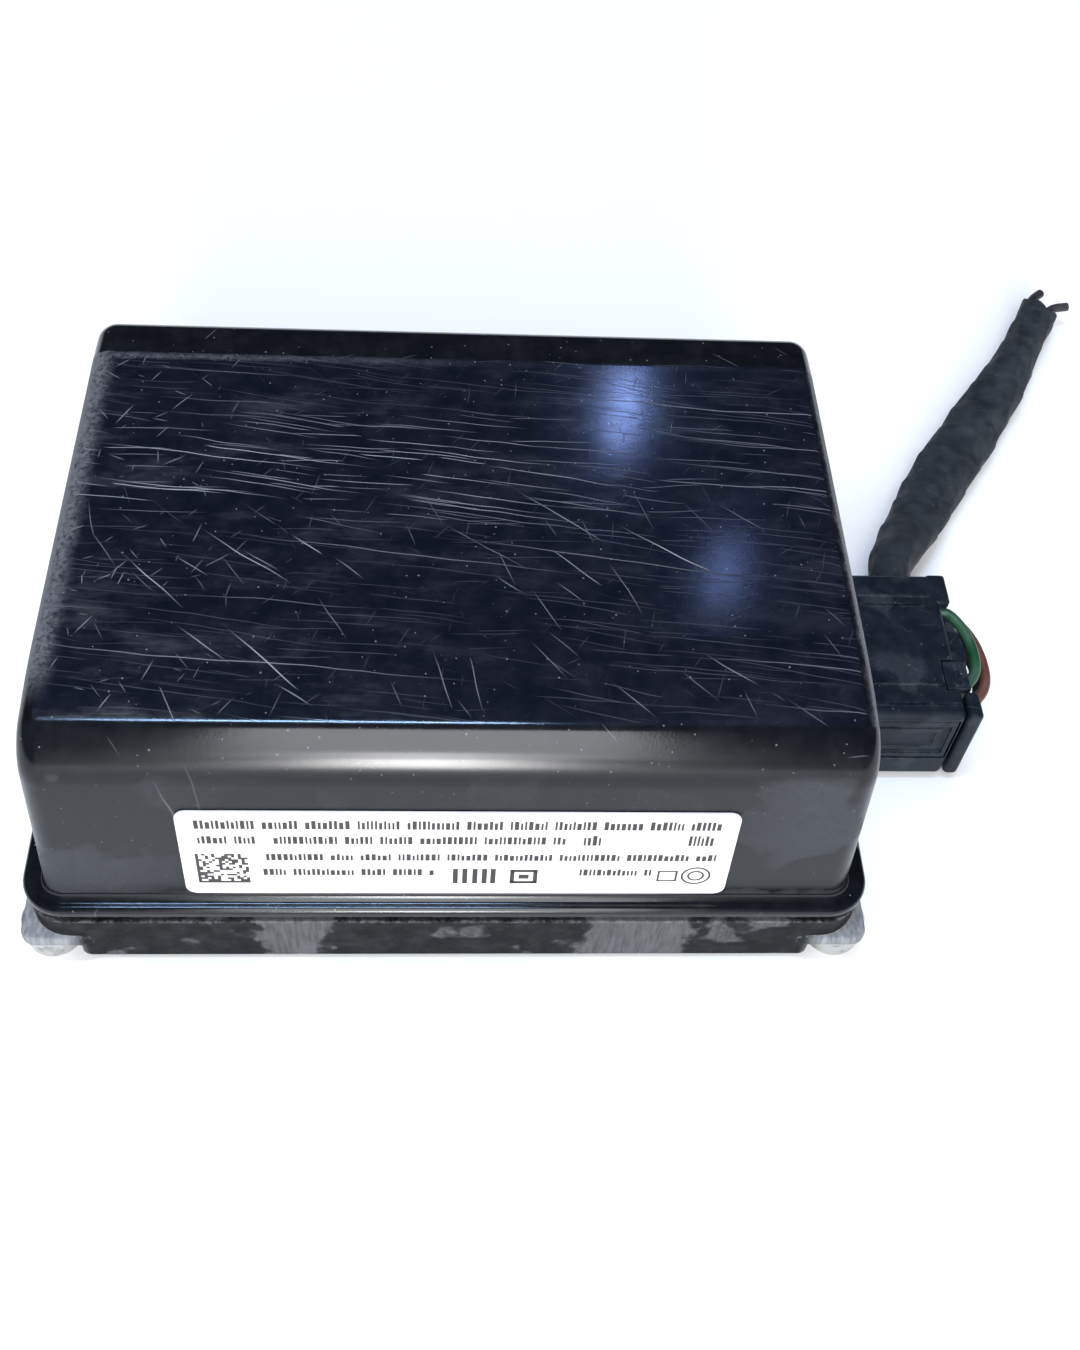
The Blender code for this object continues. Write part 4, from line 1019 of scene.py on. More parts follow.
def install(
    obj: bpy.types.Object, body: str, slot: Slot, nodes: Sequence[str] = (), finish: Finish | None = None
) -> bpy.types.Object:
    """Finishes a piece: its material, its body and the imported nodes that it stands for.

    Args:
        obj: The piece, in place.
        body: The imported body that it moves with.
        slot: Its material slot.
        nodes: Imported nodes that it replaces.
        finish: Another finish than the slot's own.

    Returns:
        The same piece.
    """
    BOOK.dress(obj, slot, finish)
    if nodes:
        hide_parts(*nodes)
    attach(obj, body)
    LOG.info("%s rides on %s", obj.name, body)
    return obj


# ------------------------------------------------------------------------------------ surroundings


@dataclass(frozen=True)
class Lamp:
    """A flat rectangular light."""

    name: str
    place: Point
    aim: Point
    size: Span
    radiance: float
    colour: Colour = (1.0, 1.0, 1.0)
    mirrored: bool = True

    def build(self) -> None:
        """Puts the light in the scene, its power worked out from brightness and area."""
        data = bpy.data.lights.new(self.name, "AREA")
        data.shape = "RECTANGLE"
        data.size, data.size_y = self.size
        data.energy = self.radiance * math.pi * self.size[0] * self.size[1]
        data.color = self.colour
        obj = bpy.data.objects.new(self.name, data)
        bpy.context.scene.collection.objects.link(obj)
        obj.location = self.place
        obj.rotation_euler = (Vector(self.aim) - Vector(self.place)).to_track_quat("-Z", "Y").to_euler()
        obj.visible_glossy = self.mirrored


@dataclass(frozen=True)
class Viewpoint:
    """Where the camera is and how it is turned, in metres and degrees."""

    place: Point = (-0.007528, -0.142699, 0.215224)
    yaw: float = 6.241
    pitch: float = 50.577
    roll: float = 5.751
    lens: float = 41.47
    shift: Span = (-0.00074, -0.0885)

    def build(self) -> None:
        """Makes the scene's camera."""
        yaw, pitch, roll = (math.radians(angle) for angle in (self.yaw, self.pitch, self.roll))
        ahead = Vector((math.sin(yaw) * math.cos(pitch), math.cos(yaw) * math.cos(pitch), -math.sin(pitch)))
        level = Vector((math.cos(yaw), -math.sin(yaw), 0.0))
        above = level.cross(ahead)
        right = level * math.cos(roll) + above * math.sin(roll)
        up = above * math.cos(roll) - level * math.sin(roll)
        data = bpy.data.cameras.new("camera")
        data.lens = self.lens
        data.sensor_width = 36.0
        data.shift_x, data.shift_y = self.shift
        data.clip_start = 0.01
        obj = bpy.data.objects.new("camera", data)
        bpy.context.scene.collection.objects.link(obj)
        turn = Matrix((right, up, -ahead)).transposed()
        obj.matrix_world = Matrix.Translation(self.place) @ turn.to_4x4()
        bpy.context.scene.camera = obj


SHOULDER = (0.0, -0.04, 0.04)
COOL_BLUE = (0.30, 0.45, 1.0)
LAMPS = (
    Lamp("key", (-0.25, 0.10, 1.50), (0.0, 0.05, 0.0), (1.7, 1.5), 2.5, (1.0, 0.955, 0.90), mirrored=False),
    Lamp("fill", (0.9, -0.9, 0.8), (0.0, 0.0, 0.02), (0.9, 0.7), 1.2, mirrored=False),
    Lamp("strip", (-0.12, -0.075, 1.25), (-0.12, -0.03, 0.05), (0.38, 0.060), 90.0, (0.40, 0.62, 1.0)),
    Lamp("panel", (0.0, -0.95, 0.85), SHOULDER, (0.40, 1.15), 8.8, (0.94, 0.97, 1.0)),
    Lamp("upper_core", (-0.015, -1.18, 0.46), SHOULDER, (0.13, 0.28), 20.0, (0.97, 0.98, 1.0)),
    Lamp("core", (-0.015, -1.18, 0.17), SHOULDER, (0.12, 0.32), 72.0, (1.0, 1.0, 1.0)),
    Lamp("spot_left", (0.170, 0.892, 0.926), (0.02, 0.02, 0.049), (0.013, 0.062), 95.0, COOL_BLUE),
    Lamp("spot_right", (0.265, 0.758, 1.008), (0.033, -0.01, 0.049), (0.026, 0.052), 17.0, COOL_BLUE),
)


@dataclass
class Studio:
    """Floor, light and camera."""

    floor_size: float = 6.0
    floor_colour: Colour = (0.84, 0.84, 0.84)
    sky: Colour = (0.020, 0.025, 0.040)

    def build(self) -> None:
        """Makes everything round the object."""
        bm = bmesh.new()
        bmesh.ops.create_grid(bm, x_segments=1, y_segments=1, size=self.floor_size / 2)
        floor = as_object("floor", bm)
        mat = bpy.data.materials.new("floor")
        mat.use_nodes = True
        shader = mat.node_tree.nodes["Principled BSDF"]
        shader.inputs["Base Color"].default_value = (*self.floor_colour, 1.0)
        shader.inputs["Roughness"].default_value = 0.9
        shader.inputs["Specular IOR Level"].default_value = 0.1
        floor.data.materials.append(mat)
        world = bpy.data.worlds.new("room")
        world.use_nodes = True
        world.node_tree.nodes["Background"].inputs["Color"].default_value = (*self.sky, 1.0)
        bpy.context.scene.world = world
        for lamp in LAMPS:
            lamp.build()
        Viewpoint().build()
        bpy.context.scene.view_settings.view_transform = "Standard"


# ------------------------------------------------------------------------------------- the housing


def merged(pieces: Iterable[bmesh.types.BMesh]) -> bmesh.types.BMesh:
    """Several separate solids as one mesh."""
    whole = bmesh.new()
    for piece in pieces:
        mesh = bpy.data.meshes.new("piece")
        piece.to_mesh(mesh)
        piece.free()
        whole.from_mesh(mesh)
        bpy.data.meshes.remove(mesh)
    return whole


def rounded_levels(z: Span, low_radius: float, high_radius: float, steps: int = 4) -> list[Span]:
    """Heights and insets of an upright edge with rounded ends, for stack."""
    angles = [QUARTER * step / steps for step in range(steps + 1)]
    turns = [(math.sin(angle), math.cos(angle)) for angle in angles]
    levels = [(z[0] + low_radius * (1 - cosine), low_radius * (1 - sine)) for sine, cosine in turns]
    return levels + [(z[1] - high_radius * (1 - sine), high_radius * (1 - cosine)) for sine, cosine in turns]


def stack(x: Span, y: Span, radius: float, levels: Sequence[Span], steps: int = 8) -> bmesh.types.BMesh:
    """Solid of rounded rectangles one above the other, measured from the housing's middle.

    Args:
        x: Its reach in X.
        y: Its reach in Y.
        radius: Corner radius.
        levels: Height and inset of each rectangle.
        steps: Segments in each corner.

    Returns:
        A new closed mesh.
    """
    rings = []
    for z, inset in levels:
        low = CENTRE + Vector((x[0] + inset, y[0] + inset, 0.0))
        high = CENTRE + Vector((x[1] - inset, y[1] - inset, 0.0))
        rings.append(at_height(rounded_rect(low, high, max(radius - inset, 0.0001), steps), z))
    return loft(rings)


def slab(half: Span, radius: float, z: Span) -> bmesh.types.BMesh:
    """Straight-sided rounded rectangle centred on the housing, between two heights."""
    return stack((-half[0], half[0]), (-half[1], half[1]), radius, ((z[0], 0.0), (z[1], 0.0)))


def rod(radius: float, z: Span, place: Vector) -> bmesh.types.BMesh:
    """Plain upright cylinder."""
    return turned(((0, z[0]), (radius, z[0]), (radius, z[1]), (0, z[1])), place, 24)


def corners(x: float, y: float) -> list[Vector]:
    """The four places at plus and minus x and y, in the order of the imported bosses."""
    return [CENTRE + Vector((sx * x, sy * y, 0.0)) for sx, sy in ((-1, -1), (1, -1), (1, 1), (-1, 1))]


@dataclass
class Radome:
    """Glossy cover: a crowned loaf on a flange, hollow inside."""

    top: float = 0.0490
    top_half_x: float = 0.0556
    flat_half_y: float = 0.0200
    crease_y: float = 0.0335
    crown_drop: float = 0.0014
    crease_reach: float = 0.00055
    wall_y: float = 0.0389
    shoulder: Span = (math.radians(22), math.radians(84.7))
    ridge_y: float = 0.0315
    ridge_reach: float = 0.0006
    far_slope: float = math.radians(4)
    band: float = 0.00533
    far_radius: float = 0.0042
    far_wall: float = math.radians(87.5)
    draft: float = 0.0333
    edge: float = 0.0030
    thick: float = 0.0022
    flange_half: Span = (0.0600, 0.0435)
    flange_z: Span = (0.0130, 0.0147)
    flange_corner: float = 0.0060
    foot_half_x: float = 0.05674
    foot_y: Span = (-0.04128, 0.04203)
    foot_fillet: float = 0.0013

    def near_half(self) -> list[Point]:
        """Section from the flat crown down the broad near shoulder: distance, height and tilt."""
        drop = self.crown_drop
        span = self.crease_y - self.flat_half_y
        half = []
        for step in range(11):
            share = step / 10 * (1 - self.crease_reach / span)
            y = self.flat_half_y + share * span
            half.append((y, self.top - drop * share**2, math.atan(2 * drop * share / span)))
        corner = (self.crease_y, self.top - drop)
        radius = (self.wall_y - corner[0]) / (math.sin(self.shoulder[1]) - math.sin(self.shoulder[0]))
        start = self.shoulder[0] + self.crease_reach / radius
        lean = self.shoulder[0]
        middle = (corner[0] - radius * math.sin(lean), corner[1] - radius * math.cos(lean))
        leave = (middle[0] + radius * math.sin(start), middle[1] + radius * math.cos(start))
        enter = half[-1]
        for step in range(1, 7):
            t = step / 7
            weights = ((1 - t) ** 2, 2 * t * (1 - t), t * t)
            y = sum(w * p[0] for w, p in zip(weights, (enter, corner, leave)))
            z = sum(w * p[1] for w, p in zip(weights, (enter, corner, leave)))
            half.append((y, z, enter[2] + (start - enter[2]) * t))
        return half + self.arc(middle, radius, (start, self.shoulder[1]))

    def far_half(self) -> list[Point]:
        """Section from the ridge over a slightly sloping band and the tight far shoulder."""
        slope = self.far_slope
        half = []
        for step in range(5):
            share = step / 4
            y = self.ridge_y + self.ridge_reach * (share - 0.5)
            half.append((y, self.top - self.ridge_reach / 2 * share**2 * slope, slope * share))
        end = (self.ridge_y + self.band * math.cos(slope), self.top - self.band * math.sin(slope))
        middle = (end[0] - self.far_radius * math.sin(slope), end[1] - self.far_radius * math.cos(slope))
        return half + self.arc(middle, self.far_radius, (slope, self.far_wall))

    def arc(self, middle: Span, radius: float, tilts: Span) -> list[Point]:
        """Points round a shoulder, and the foot of the straight wall below it."""
        points = []
        for step in range(25):
            tilt = tilts[0] + (tilts[1] - tilts[0]) * step / 24
            points.append((middle[0] + radius * math.sin(tilt), middle[1] + radius * math.cos(tilt), tilt))
        y, z, tilt = points[-1]
        points.append((y + (z - 0.008) * math.tan(QUARTER - tilt), 0.008, tilt))
        return points

    def section(self, inset: float) -> list[Point]:
        """Whole cross-section from the near foot to the far foot, drawn in by an inset."""
        whole = [(-y, z, -tilt) for y, z, tilt in reversed(self.near_half())] + self.far_half()
        return [(y - inset * math.sin(tilt), z - inset * math.cos(tilt), tilt) for y, z, tilt in whole]

    def loaf(self, inset: float, edge: float, bottom: float) -> bmesh.types.BMesh:
        """The loaf cut flat at its bottom, drawn in by an inset all over."""
        whole = self.section(inset)
        rings = []
        steps = 9
        for side in (-1, 1):
            for station in range(steps + 1) if side < 0 else range(steps, -1, -1):
                angle = QUARTER * station / steps
                sink = edge * (1 - math.sin(angle))
                ring = []
                for y, z, tilt in whole:
                    low = z - math.cos(tilt) * sink
                    widened = self.draft * (self.top - low) - edge * (1 - math.cos(angle))
                    reach = self.top_half_x - inset + widened
                    ring.append(CENTRE + Vector((side * reach, y - math.sin(tilt) * sink, low)))
                rings.append(ring)
        bm = loft(rings)
        whole = bm.verts[:] + bm.edges[:] + bm.faces[:]
        bmesh.ops.bisect_plane(bm, geom=whole, plane_co=(0, 0, bottom), plane_no=(0, 0, -1), clear_outer=True)
        bmesh.ops.holes_fill(bm, edges=[edge for edge in bm.edges if edge.is_boundary])
        bmesh.ops.recalc_face_normals(bm, faces=bm.faces)
        return bm

    def foot_ring(self, grow: float, z: float) -> list[Vector]:
        """Outline of the walls' foot, grown outwards."""
        low = CENTRE + Vector((-self.foot_half_x - grow, self.foot_y[0] - grow, 0.0))
        high = CENTRE + Vector((self.foot_half_x + grow, self.foot_y[1] + grow, 0.0))
        return at_height(rounded_rect(low, high, self.edge + grow), z)

    def flange(self) -> bmesh.types.BMesh:
        """The flange with the hollow fillet that rises from it into the walls."""
        rings = []
        for z, inset in rounded_levels(self.flange_z, 0.0002, 0.0009, 6):
            half_x, half_y = self.flange_half[0] - inset, self.flange_half[1] - inset
            rings.append(at_height(centred_rect(half_x, half_y, self.flange_corner - inset), z))
        for step in range(8):
            angle = math.radians(75) * step / 7
            grow = self.foot_fillet * (1 - math.sin(angle))
            rise = self.foot_fillet * (1 - math.cos(angle))
            rings.append(self.foot_ring(grow, self.flange_z[1] + rise))
        rings.append(self.foot_ring(-0.0005, self.flange_z[1] + self.foot_fillet))
        return loft(rings)

    def build(self) -> None:
        """Makes the cover."""
        bottom = self.flange_z[0]
        cover = as_object("radome_cover", self.loaf(0.0, self.edge, bottom + 0.0001))
        combine(cover, self.flange(), Joining.FUSE)
        combine(cover, self.loaf(self.thick, self.edge - self.thick / 2, bottom - 0.001), Joining.CUT)
        smooth(cover, 30.0)
        install(cover, "housing", Slot.RADOME, ("radome",))


@dataclass(frozen=True)
class Post:
    """Four equal screw posts: their places, their radius, their thread's length and their hole's heights."""

    place: Span
    radius: float
    thread: float
    hole: Span


@dataclass
class Base:
    """Cast tray with notched corners, ears and steel bosses."""

    half: Span = (0.0597, 0.0435)
    corner: float = 0.0060
    bottom: float = 0.0007
    step_z: float = 0.0115
    rim_inset: float = 0.0010
    top: float = 0.0127
    floor: float = 0.0032
    cavity: Span = (0.0546, 0.0386)
    cavity_upper: float = 0.0090
    window_y: Span = (-0.0088, 0.0120)
    window_z: Span = (0.0026, 0.0104)
    pocket_start: float = -0.0435
    pocket_pitch: float = 0.0225
    pocket_size: Span = (0.0195, 0.0365)
    pocket_gap: float = 0.0015
    notch: Span = (0.0526, 0.0339)
    notch_wall: float = 0.0024
    flare: float = 0.0018
    ear_z: Span = (0.0052, 0.0069)
    ear_half: Span = (0.0610, 0.0441)
    boss: Span = (0.0574, 0.0392)
    boss_radius: float = 0.0043
    thread: float = 0.0021
    board_post: Post = Post((0.0390, 0.0290), 0.0026, 0.0021, (0.0036, 0.020))
    frame_post: Post = Post((0.0483, 0.0350), 0.0024, 0.0062, (0.0080, 0.021))
    vent_place: Span = (-0.0338, 0.0200)
    seal: Span = (0.0563, 0.0402)
    gap: float = 0.0003

    def notch_cutters(self) -> list[bmesh.types.BMesh]:
        """One cutter for each corner, wider towards the bottom in a round step."""
        levels = [(-0.001, -self.flare)]
        for step in range(7):
            angle = QUARTER * step / 6
            rise = self.bottom + self.flare * (1 - math.cos(angle))
            levels.append((rise, self.flare * (math.sin(angle) - 1)))
        levels.append((self.ear_z[0], 0.0))
        cutters = []
        for sx in (-1, 1):
            for sy in (-1, 1):
                x = sorted((sx * self.notch[0], sx * 0.075))
                y = sorted((sy * self.notch[1], sy * 0.060))
                cutters.append(stack(x, y, 0.002, levels))
        return cutters

    def ears(self) -> list[bmesh.types.BMesh]:
        """The four ears."""
        levels = rounded_levels(self.ear_z, 0.00025, 0.0006)
        ears = []
        for sx in (-1, 1):
            for sy in (-1, 1):
                x = sorted((sx * 0.050, sx * self.ear_half[0]))
                y = sorted((sy * 0.030, sy * self.ear_half[1]))
                ears.append(stack(x, y, 0.0022, levels))
        return ears

    def hollow(self, base: bpy.types.Object) -> None:
        """Cuts the tray, its seal groove and the window for the connector."""
        arm_x = self.notch[0] - self.notch_wall
        arm_y = self.notch[1] - self.notch_wall
        x, y = self.cavity
        combine(base, slab((x, arm_y), 0.002, (self.floor, 0.020)), Joining.CUT)
        combine(base, slab((arm_x, y), 0.002, (self.floor, 0.021)), Joining.CUT)
        combine(base, slab((x, y), 0.003, (self.cavity_upper, 0.022)), Joining.CUT)
        groove = as_object("groove", self.ring_slab(0.0013, (self.step_z, 0.014)))
        combine(groove, self.ring_slab(-0.0001, (self.step_z - 0.001, 0.015)), Joining.CUT)
        cutter = bmesh.new()
        cutter.from_mesh(groove.data)
        bpy.data.objects.remove(groove)
        combine(base, cutter, Joining.CUT)
        low, high = ((0.050, self.window_y[0], self.window_z[0]), (0.065, self.window_y[1], self.window_z[1]))
        clearance = Vector((0.0, self.gap, self.gap))
        combine(base, block(Vector(low) - clearance, Vector(high) + clearance), Joining.CUT)

    def ring_slab(self, grow: float, z: Span) -> bmesh.types.BMesh:
        """Slab whose outline is the seal's inner edge, grown outwards."""
        return slab((self.seal[0] + grow, self.seal[1] + grow), 0.0035 + grow, z)

    def seats(self, base: bpy.types.Object) -> None:
        """Adds the posts and cuts the screw holes, the vent's seat and the underside pockets."""
        foot = self.floor - 0.0007
        posts = []
        holes = []
        for post in (self.board_post, self.frame_post):
            for place in corners(*post.place):
                posts.append(rod(post.radius, (foot, post.hole[0] + post.thread), place))
                holes.append(rod(0.0013, post.hole, place))
        for place in corners(*self.boss):
            holes.append(rod(0.0018, (0.004, self.ear_z[1] + 0.001), place))
        wide, narrow, shelf = 0.0043, 0.0011, 0.0024
        vent = ((0, -0.001), (wide, -0.001), (wide, shelf), (narrow, shelf), (narrow, 0.005), (0, 0.005))
        holes.append(turned(vent, CENTRE + Vector((*self.vent_place, 0.0)), 48))
        combine(base, merged(posts), Joining.FUSE)
        combine(base, merged(holes), Joining.CUT)
        pockets = []
        levels = ((-0.001, 0.0), (self.bottom + 0.0007, 0.0), (self.bottom + 0.0010, 0.0003))
        for column in range(4):
            x = self.pocket_start + column * self.pocket_pitch
            near, far = self.pocket_gap, self.pocket_gap + self.pocket_size[1]
            for y in ((-far, -near), (near, far)):
                if column or y[0] < 0:
                    pockets.append(stack((x, x + self.pocket_size[0]), y, 0.002, levels))
        combine(base, merged(pockets), Joining.CUT)

    def build_bosses(self) -> None:
        """Four turned bosses with a threaded blind hole from below and a spigot in the ear."""
        top = self.ear_z[0] - self.gap
        thread = []
        for turn in range(6):
            low = 0.0002 + turn * 0.0006
            thread += [(self.thread, low), (self.thread + 0.0003, low + 0.0003)]
        profile = ((0, 0.0040), (self.thread, 0.0040), *reversed(thread), (self.thread + 0.0002, 0.0))
        edge = 0.0007
        rounding = []
        for step in range(5):
            angle = QUARTER * step / 4
            rounding.append((self.boss_radius - edge * (1 - math.sin(angle)), edge * (1 - math.cos(angle))))
        profile += (*rounding, (self.boss_radius, top - 0.0002), (self.boss_radius - 0.0002, top))
        profile += ((0.0015, top), (0.0015, 0.0065), (0.0014, 0.0066), (0, 0.0066))
        for index, place in enumerate(corners(*self.boss), 1):
            boss = as_object(f"turned_boss_{index}", turned(profile, place))
            smooth(boss, 25.0)
            install(boss, "housing", Slot.STEEL, (f"mounting_boss_{index}",))

    def build(self) -> None:
        """Makes the casting and its bosses."""
        x, y = self.half
        levels = rounded_levels((self.bottom, self.step_z), 0.0006, 0.0002)
        base = as_object("cast_base", stack((-x, x), (-y, y), self.corner, levels))
        inset = self.rim_inset
        rim = slab((x - inset, y - inset), self.corner - inset, (self.step_z - 0.001, self.top))
        combine(base, rim, Joining.FUSE)
        combine(base, merged(self.notch_cutters()), Joining.CUT)
        combine(base, merged(self.ears()), Joining.FUSE)
        self.hollow(base)
        self.seats(base)
        smooth(base, 30.0)
        install(base, "housing", Slot.BASE, ("base_casting",))
        self.build_bosses()


@dataclass
class RatingLabel:
    """Film label on the near wall, printed with marks that say nothing."""

    x: Span = (-0.0366, 0.0383)
    rise: Span = (0.0017, 0.0209)
    corner: float = 0.0016
    thick: float = 0.00026
    ink: float = 0.00003
    lean: float = math.radians(84.7)
    foot: Point = (0.0, -0.0414, 0.0147)
    rows: tuple[tuple[Span, Span], ...] = (
        ((-0.0342, 0.0358), (0.0171, 0.0190)),
        ((-0.0340, -0.0268), (0.0137, 0.0154)),
        ((-0.0240, 0.0150), (0.0137, 0.0154)),
        ((0.0175, 0.0200), (0.0135, 0.0158)),
        ((0.0318, 0.0350), (0.0135, 0.0158)),
        ((-0.0252, 0.0358), (0.0098, 0.0113)),
        ((-0.0258, -0.0026), (0.0062, 0.0077)),
        ((0.0175, 0.0275), (0.0062, 0.0077)),
    )
    row_bars: tuple[float, ...] = (0.00030, 0.00042, 0.00058)
    row_gap: float = 0.00024
    word_gap: float = 0.0008
    wide_bars: tuple[float, ...] = (0.0000, 0.0013, 0.0027, 0.0040, 0.0052)
    code_corner: Span = (-0.0347, 0.0043)
    code_size: float = 0.0070
    ring_middle: Span = (0.0338, 0.0062)
    ring_radii: Span = (0.0021, 0.0012)
    seed: int = 11

    def on_wall(self) -> Matrix:
        """From the label's own plane to the wall that it lies on."""
        return Matrix.Translation(CENTRE + Vector(self.foot)) @ Matrix.Rotation(self.lean, 4, "X")

    def mark(self, x: float, y: float, width: float, height: float) -> bmesh.types.BMesh:
        """One flat bar of ink, given its lowest corner in the label's plane."""
        bm = bmesh.new()
        size = (width, height, self.ink)
        middle = (x + width / 2, y + height / 2, self.thick + self.ink / 2 - 0.00001)
        bmesh.ops.create_cube(bm, size=1.0, matrix=Matrix.Translation(middle) @ Matrix.Diagonal((*size, 1.0)))
        return bm

    def row(self, x: Span, y: Span, chance: random.Random) -> list[bmesh.types.BMesh]:
        """A row of small upright bars in groups, as dense as print but without letters."""
        marks = []
        at = x[0]
        while at < x[1]:
            for _ in range(chance.randint(5, 13)):
                if at < x[1]:
                    width = chance.choice(self.row_bars)
                    reach = chance.choice((0.80, 1.0, 1.0)) * (y[1] - y[0])
                    marks.append(self.mark(at, y[0], width, reach))
                    at += width + self.row_gap
            at += self.word_gap
        return marks

    def code(self, low: Span, size: float, chance: random.Random) -> list[bmesh.types.BMesh]:
        """A square of random cells with two solid sides."""
        cells = 16
        pitch = size / cells
        marks = [self.mark(low[0], low[1], pitch, size), self.mark(low[0], low[1], size, pitch)]
        for column in range(1, cells):
            for line in range(1, cells):
                if chance.random() < 0.48:
                    marks.append(self.mark(low[0] + column * pitch, low[1] + line * pitch, pitch, pitch))
        return marks

    def frame(self, low: Span, high: Span, line: float) -> list[bmesh.types.BMesh]:
        """An open rectangle of four bars."""
        width = high[0] - low[0]
        height = high[1] - low[1]
        return [
            self.mark(low[0], low[1], width, line),
            self.mark(low[0], high[1] - line, width, line),
            self.mark(low[0], low[1], line, height),
            self.mark(high[0] - line, low[1], line, height),
        ]

    def hoop(self, middle: Span, radius: float, line: float) -> bmesh.types.BMesh:
        """A flat ring of ink."""
        low, high = self.thick - 0.00001, self.thick + self.ink
        section = ((radius - line, low), (radius, low), (radius, high), (radius - line, high))
        rings = []
        for step in range(24):
            turn = Matrix.Rotation(2 * math.pi * step / 24, 3, "Z")
            rings.append([turn @ Vector((reach, 0.0, z)) + Vector((*middle, 0.0)) for reach, z in section])
        return loft([*rings, rings[0]], closed_ends=False)

    def build(self) -> None:
        """Makes the film and its print."""
        low = Vector((self.x[0], self.rise[0], 0.0))
        high = Vector((self.x[1], self.rise[1], 0.0))
        outline = rounded_rect(low, high, self.corner)
        film = loft([at_height(outline, 0.0), at_height(outline, self.thick)])
        film.transform(self.on_wall())
        install(as_object("label_film", film), "housing", Slot.LABEL, ("rating_label",))
        chance = random.Random(self.seed)
        marks = []
        for x, y in self.rows:
            marks += self.row(x, y, chance)
        for left in self.wide_bars:
            marks.append(self.mark(left, 0.0042, 0.0007, 0.0036))
        marks += self.frame((0.0079, 0.0042), (0.0117, 0.0076), 0.0006)
        marks.append(self.mark(0.0091, 0.0054, 0.0014, 0.0010))
        marks += self.frame((0.0284, 0.0048), (0.0312, 0.0074), 0.0003)
        marks += self.code(self.code_corner, self.code_size, chance)
        marks += [self.hoop(self.ring_middle, radius, 0.0003) for radius in self.ring_radii]
        ink = merged(marks)
        ink.transform(self.on_wall())
        install(as_object("label_print", ink), "housing", Slot.LABEL, finish=INK)


# ------------------------------------------------------------------------------------- the harness


LOOP = ((0, 0), (0.05, 0.52), (0.22, 0.92), (0.46, 1), (0.72, 0.84), (0.93, 0.44), (1, 0))


def loop_path(x: float, y: Span, reach: float, z: Span) -> list[Vector]:
    """Curve out of the plug's back, round and in again.

    Args:
        x: Where it leaves the plug.
        y: Where it starts and where it ends.
        reach: How far out it bulges.
        z: Its height at the start and at the end.

    Returns:
        Its points.
    """
    points = []
    for across, out in LOOP:
        place = Vector((x + reach * out, y[0] + (y[1] - y[0]) * across, z[0] + (z[1] - z[0]) * across))
        points.append(CENTRE + place)
    return smooth_path(points, 0.0005)


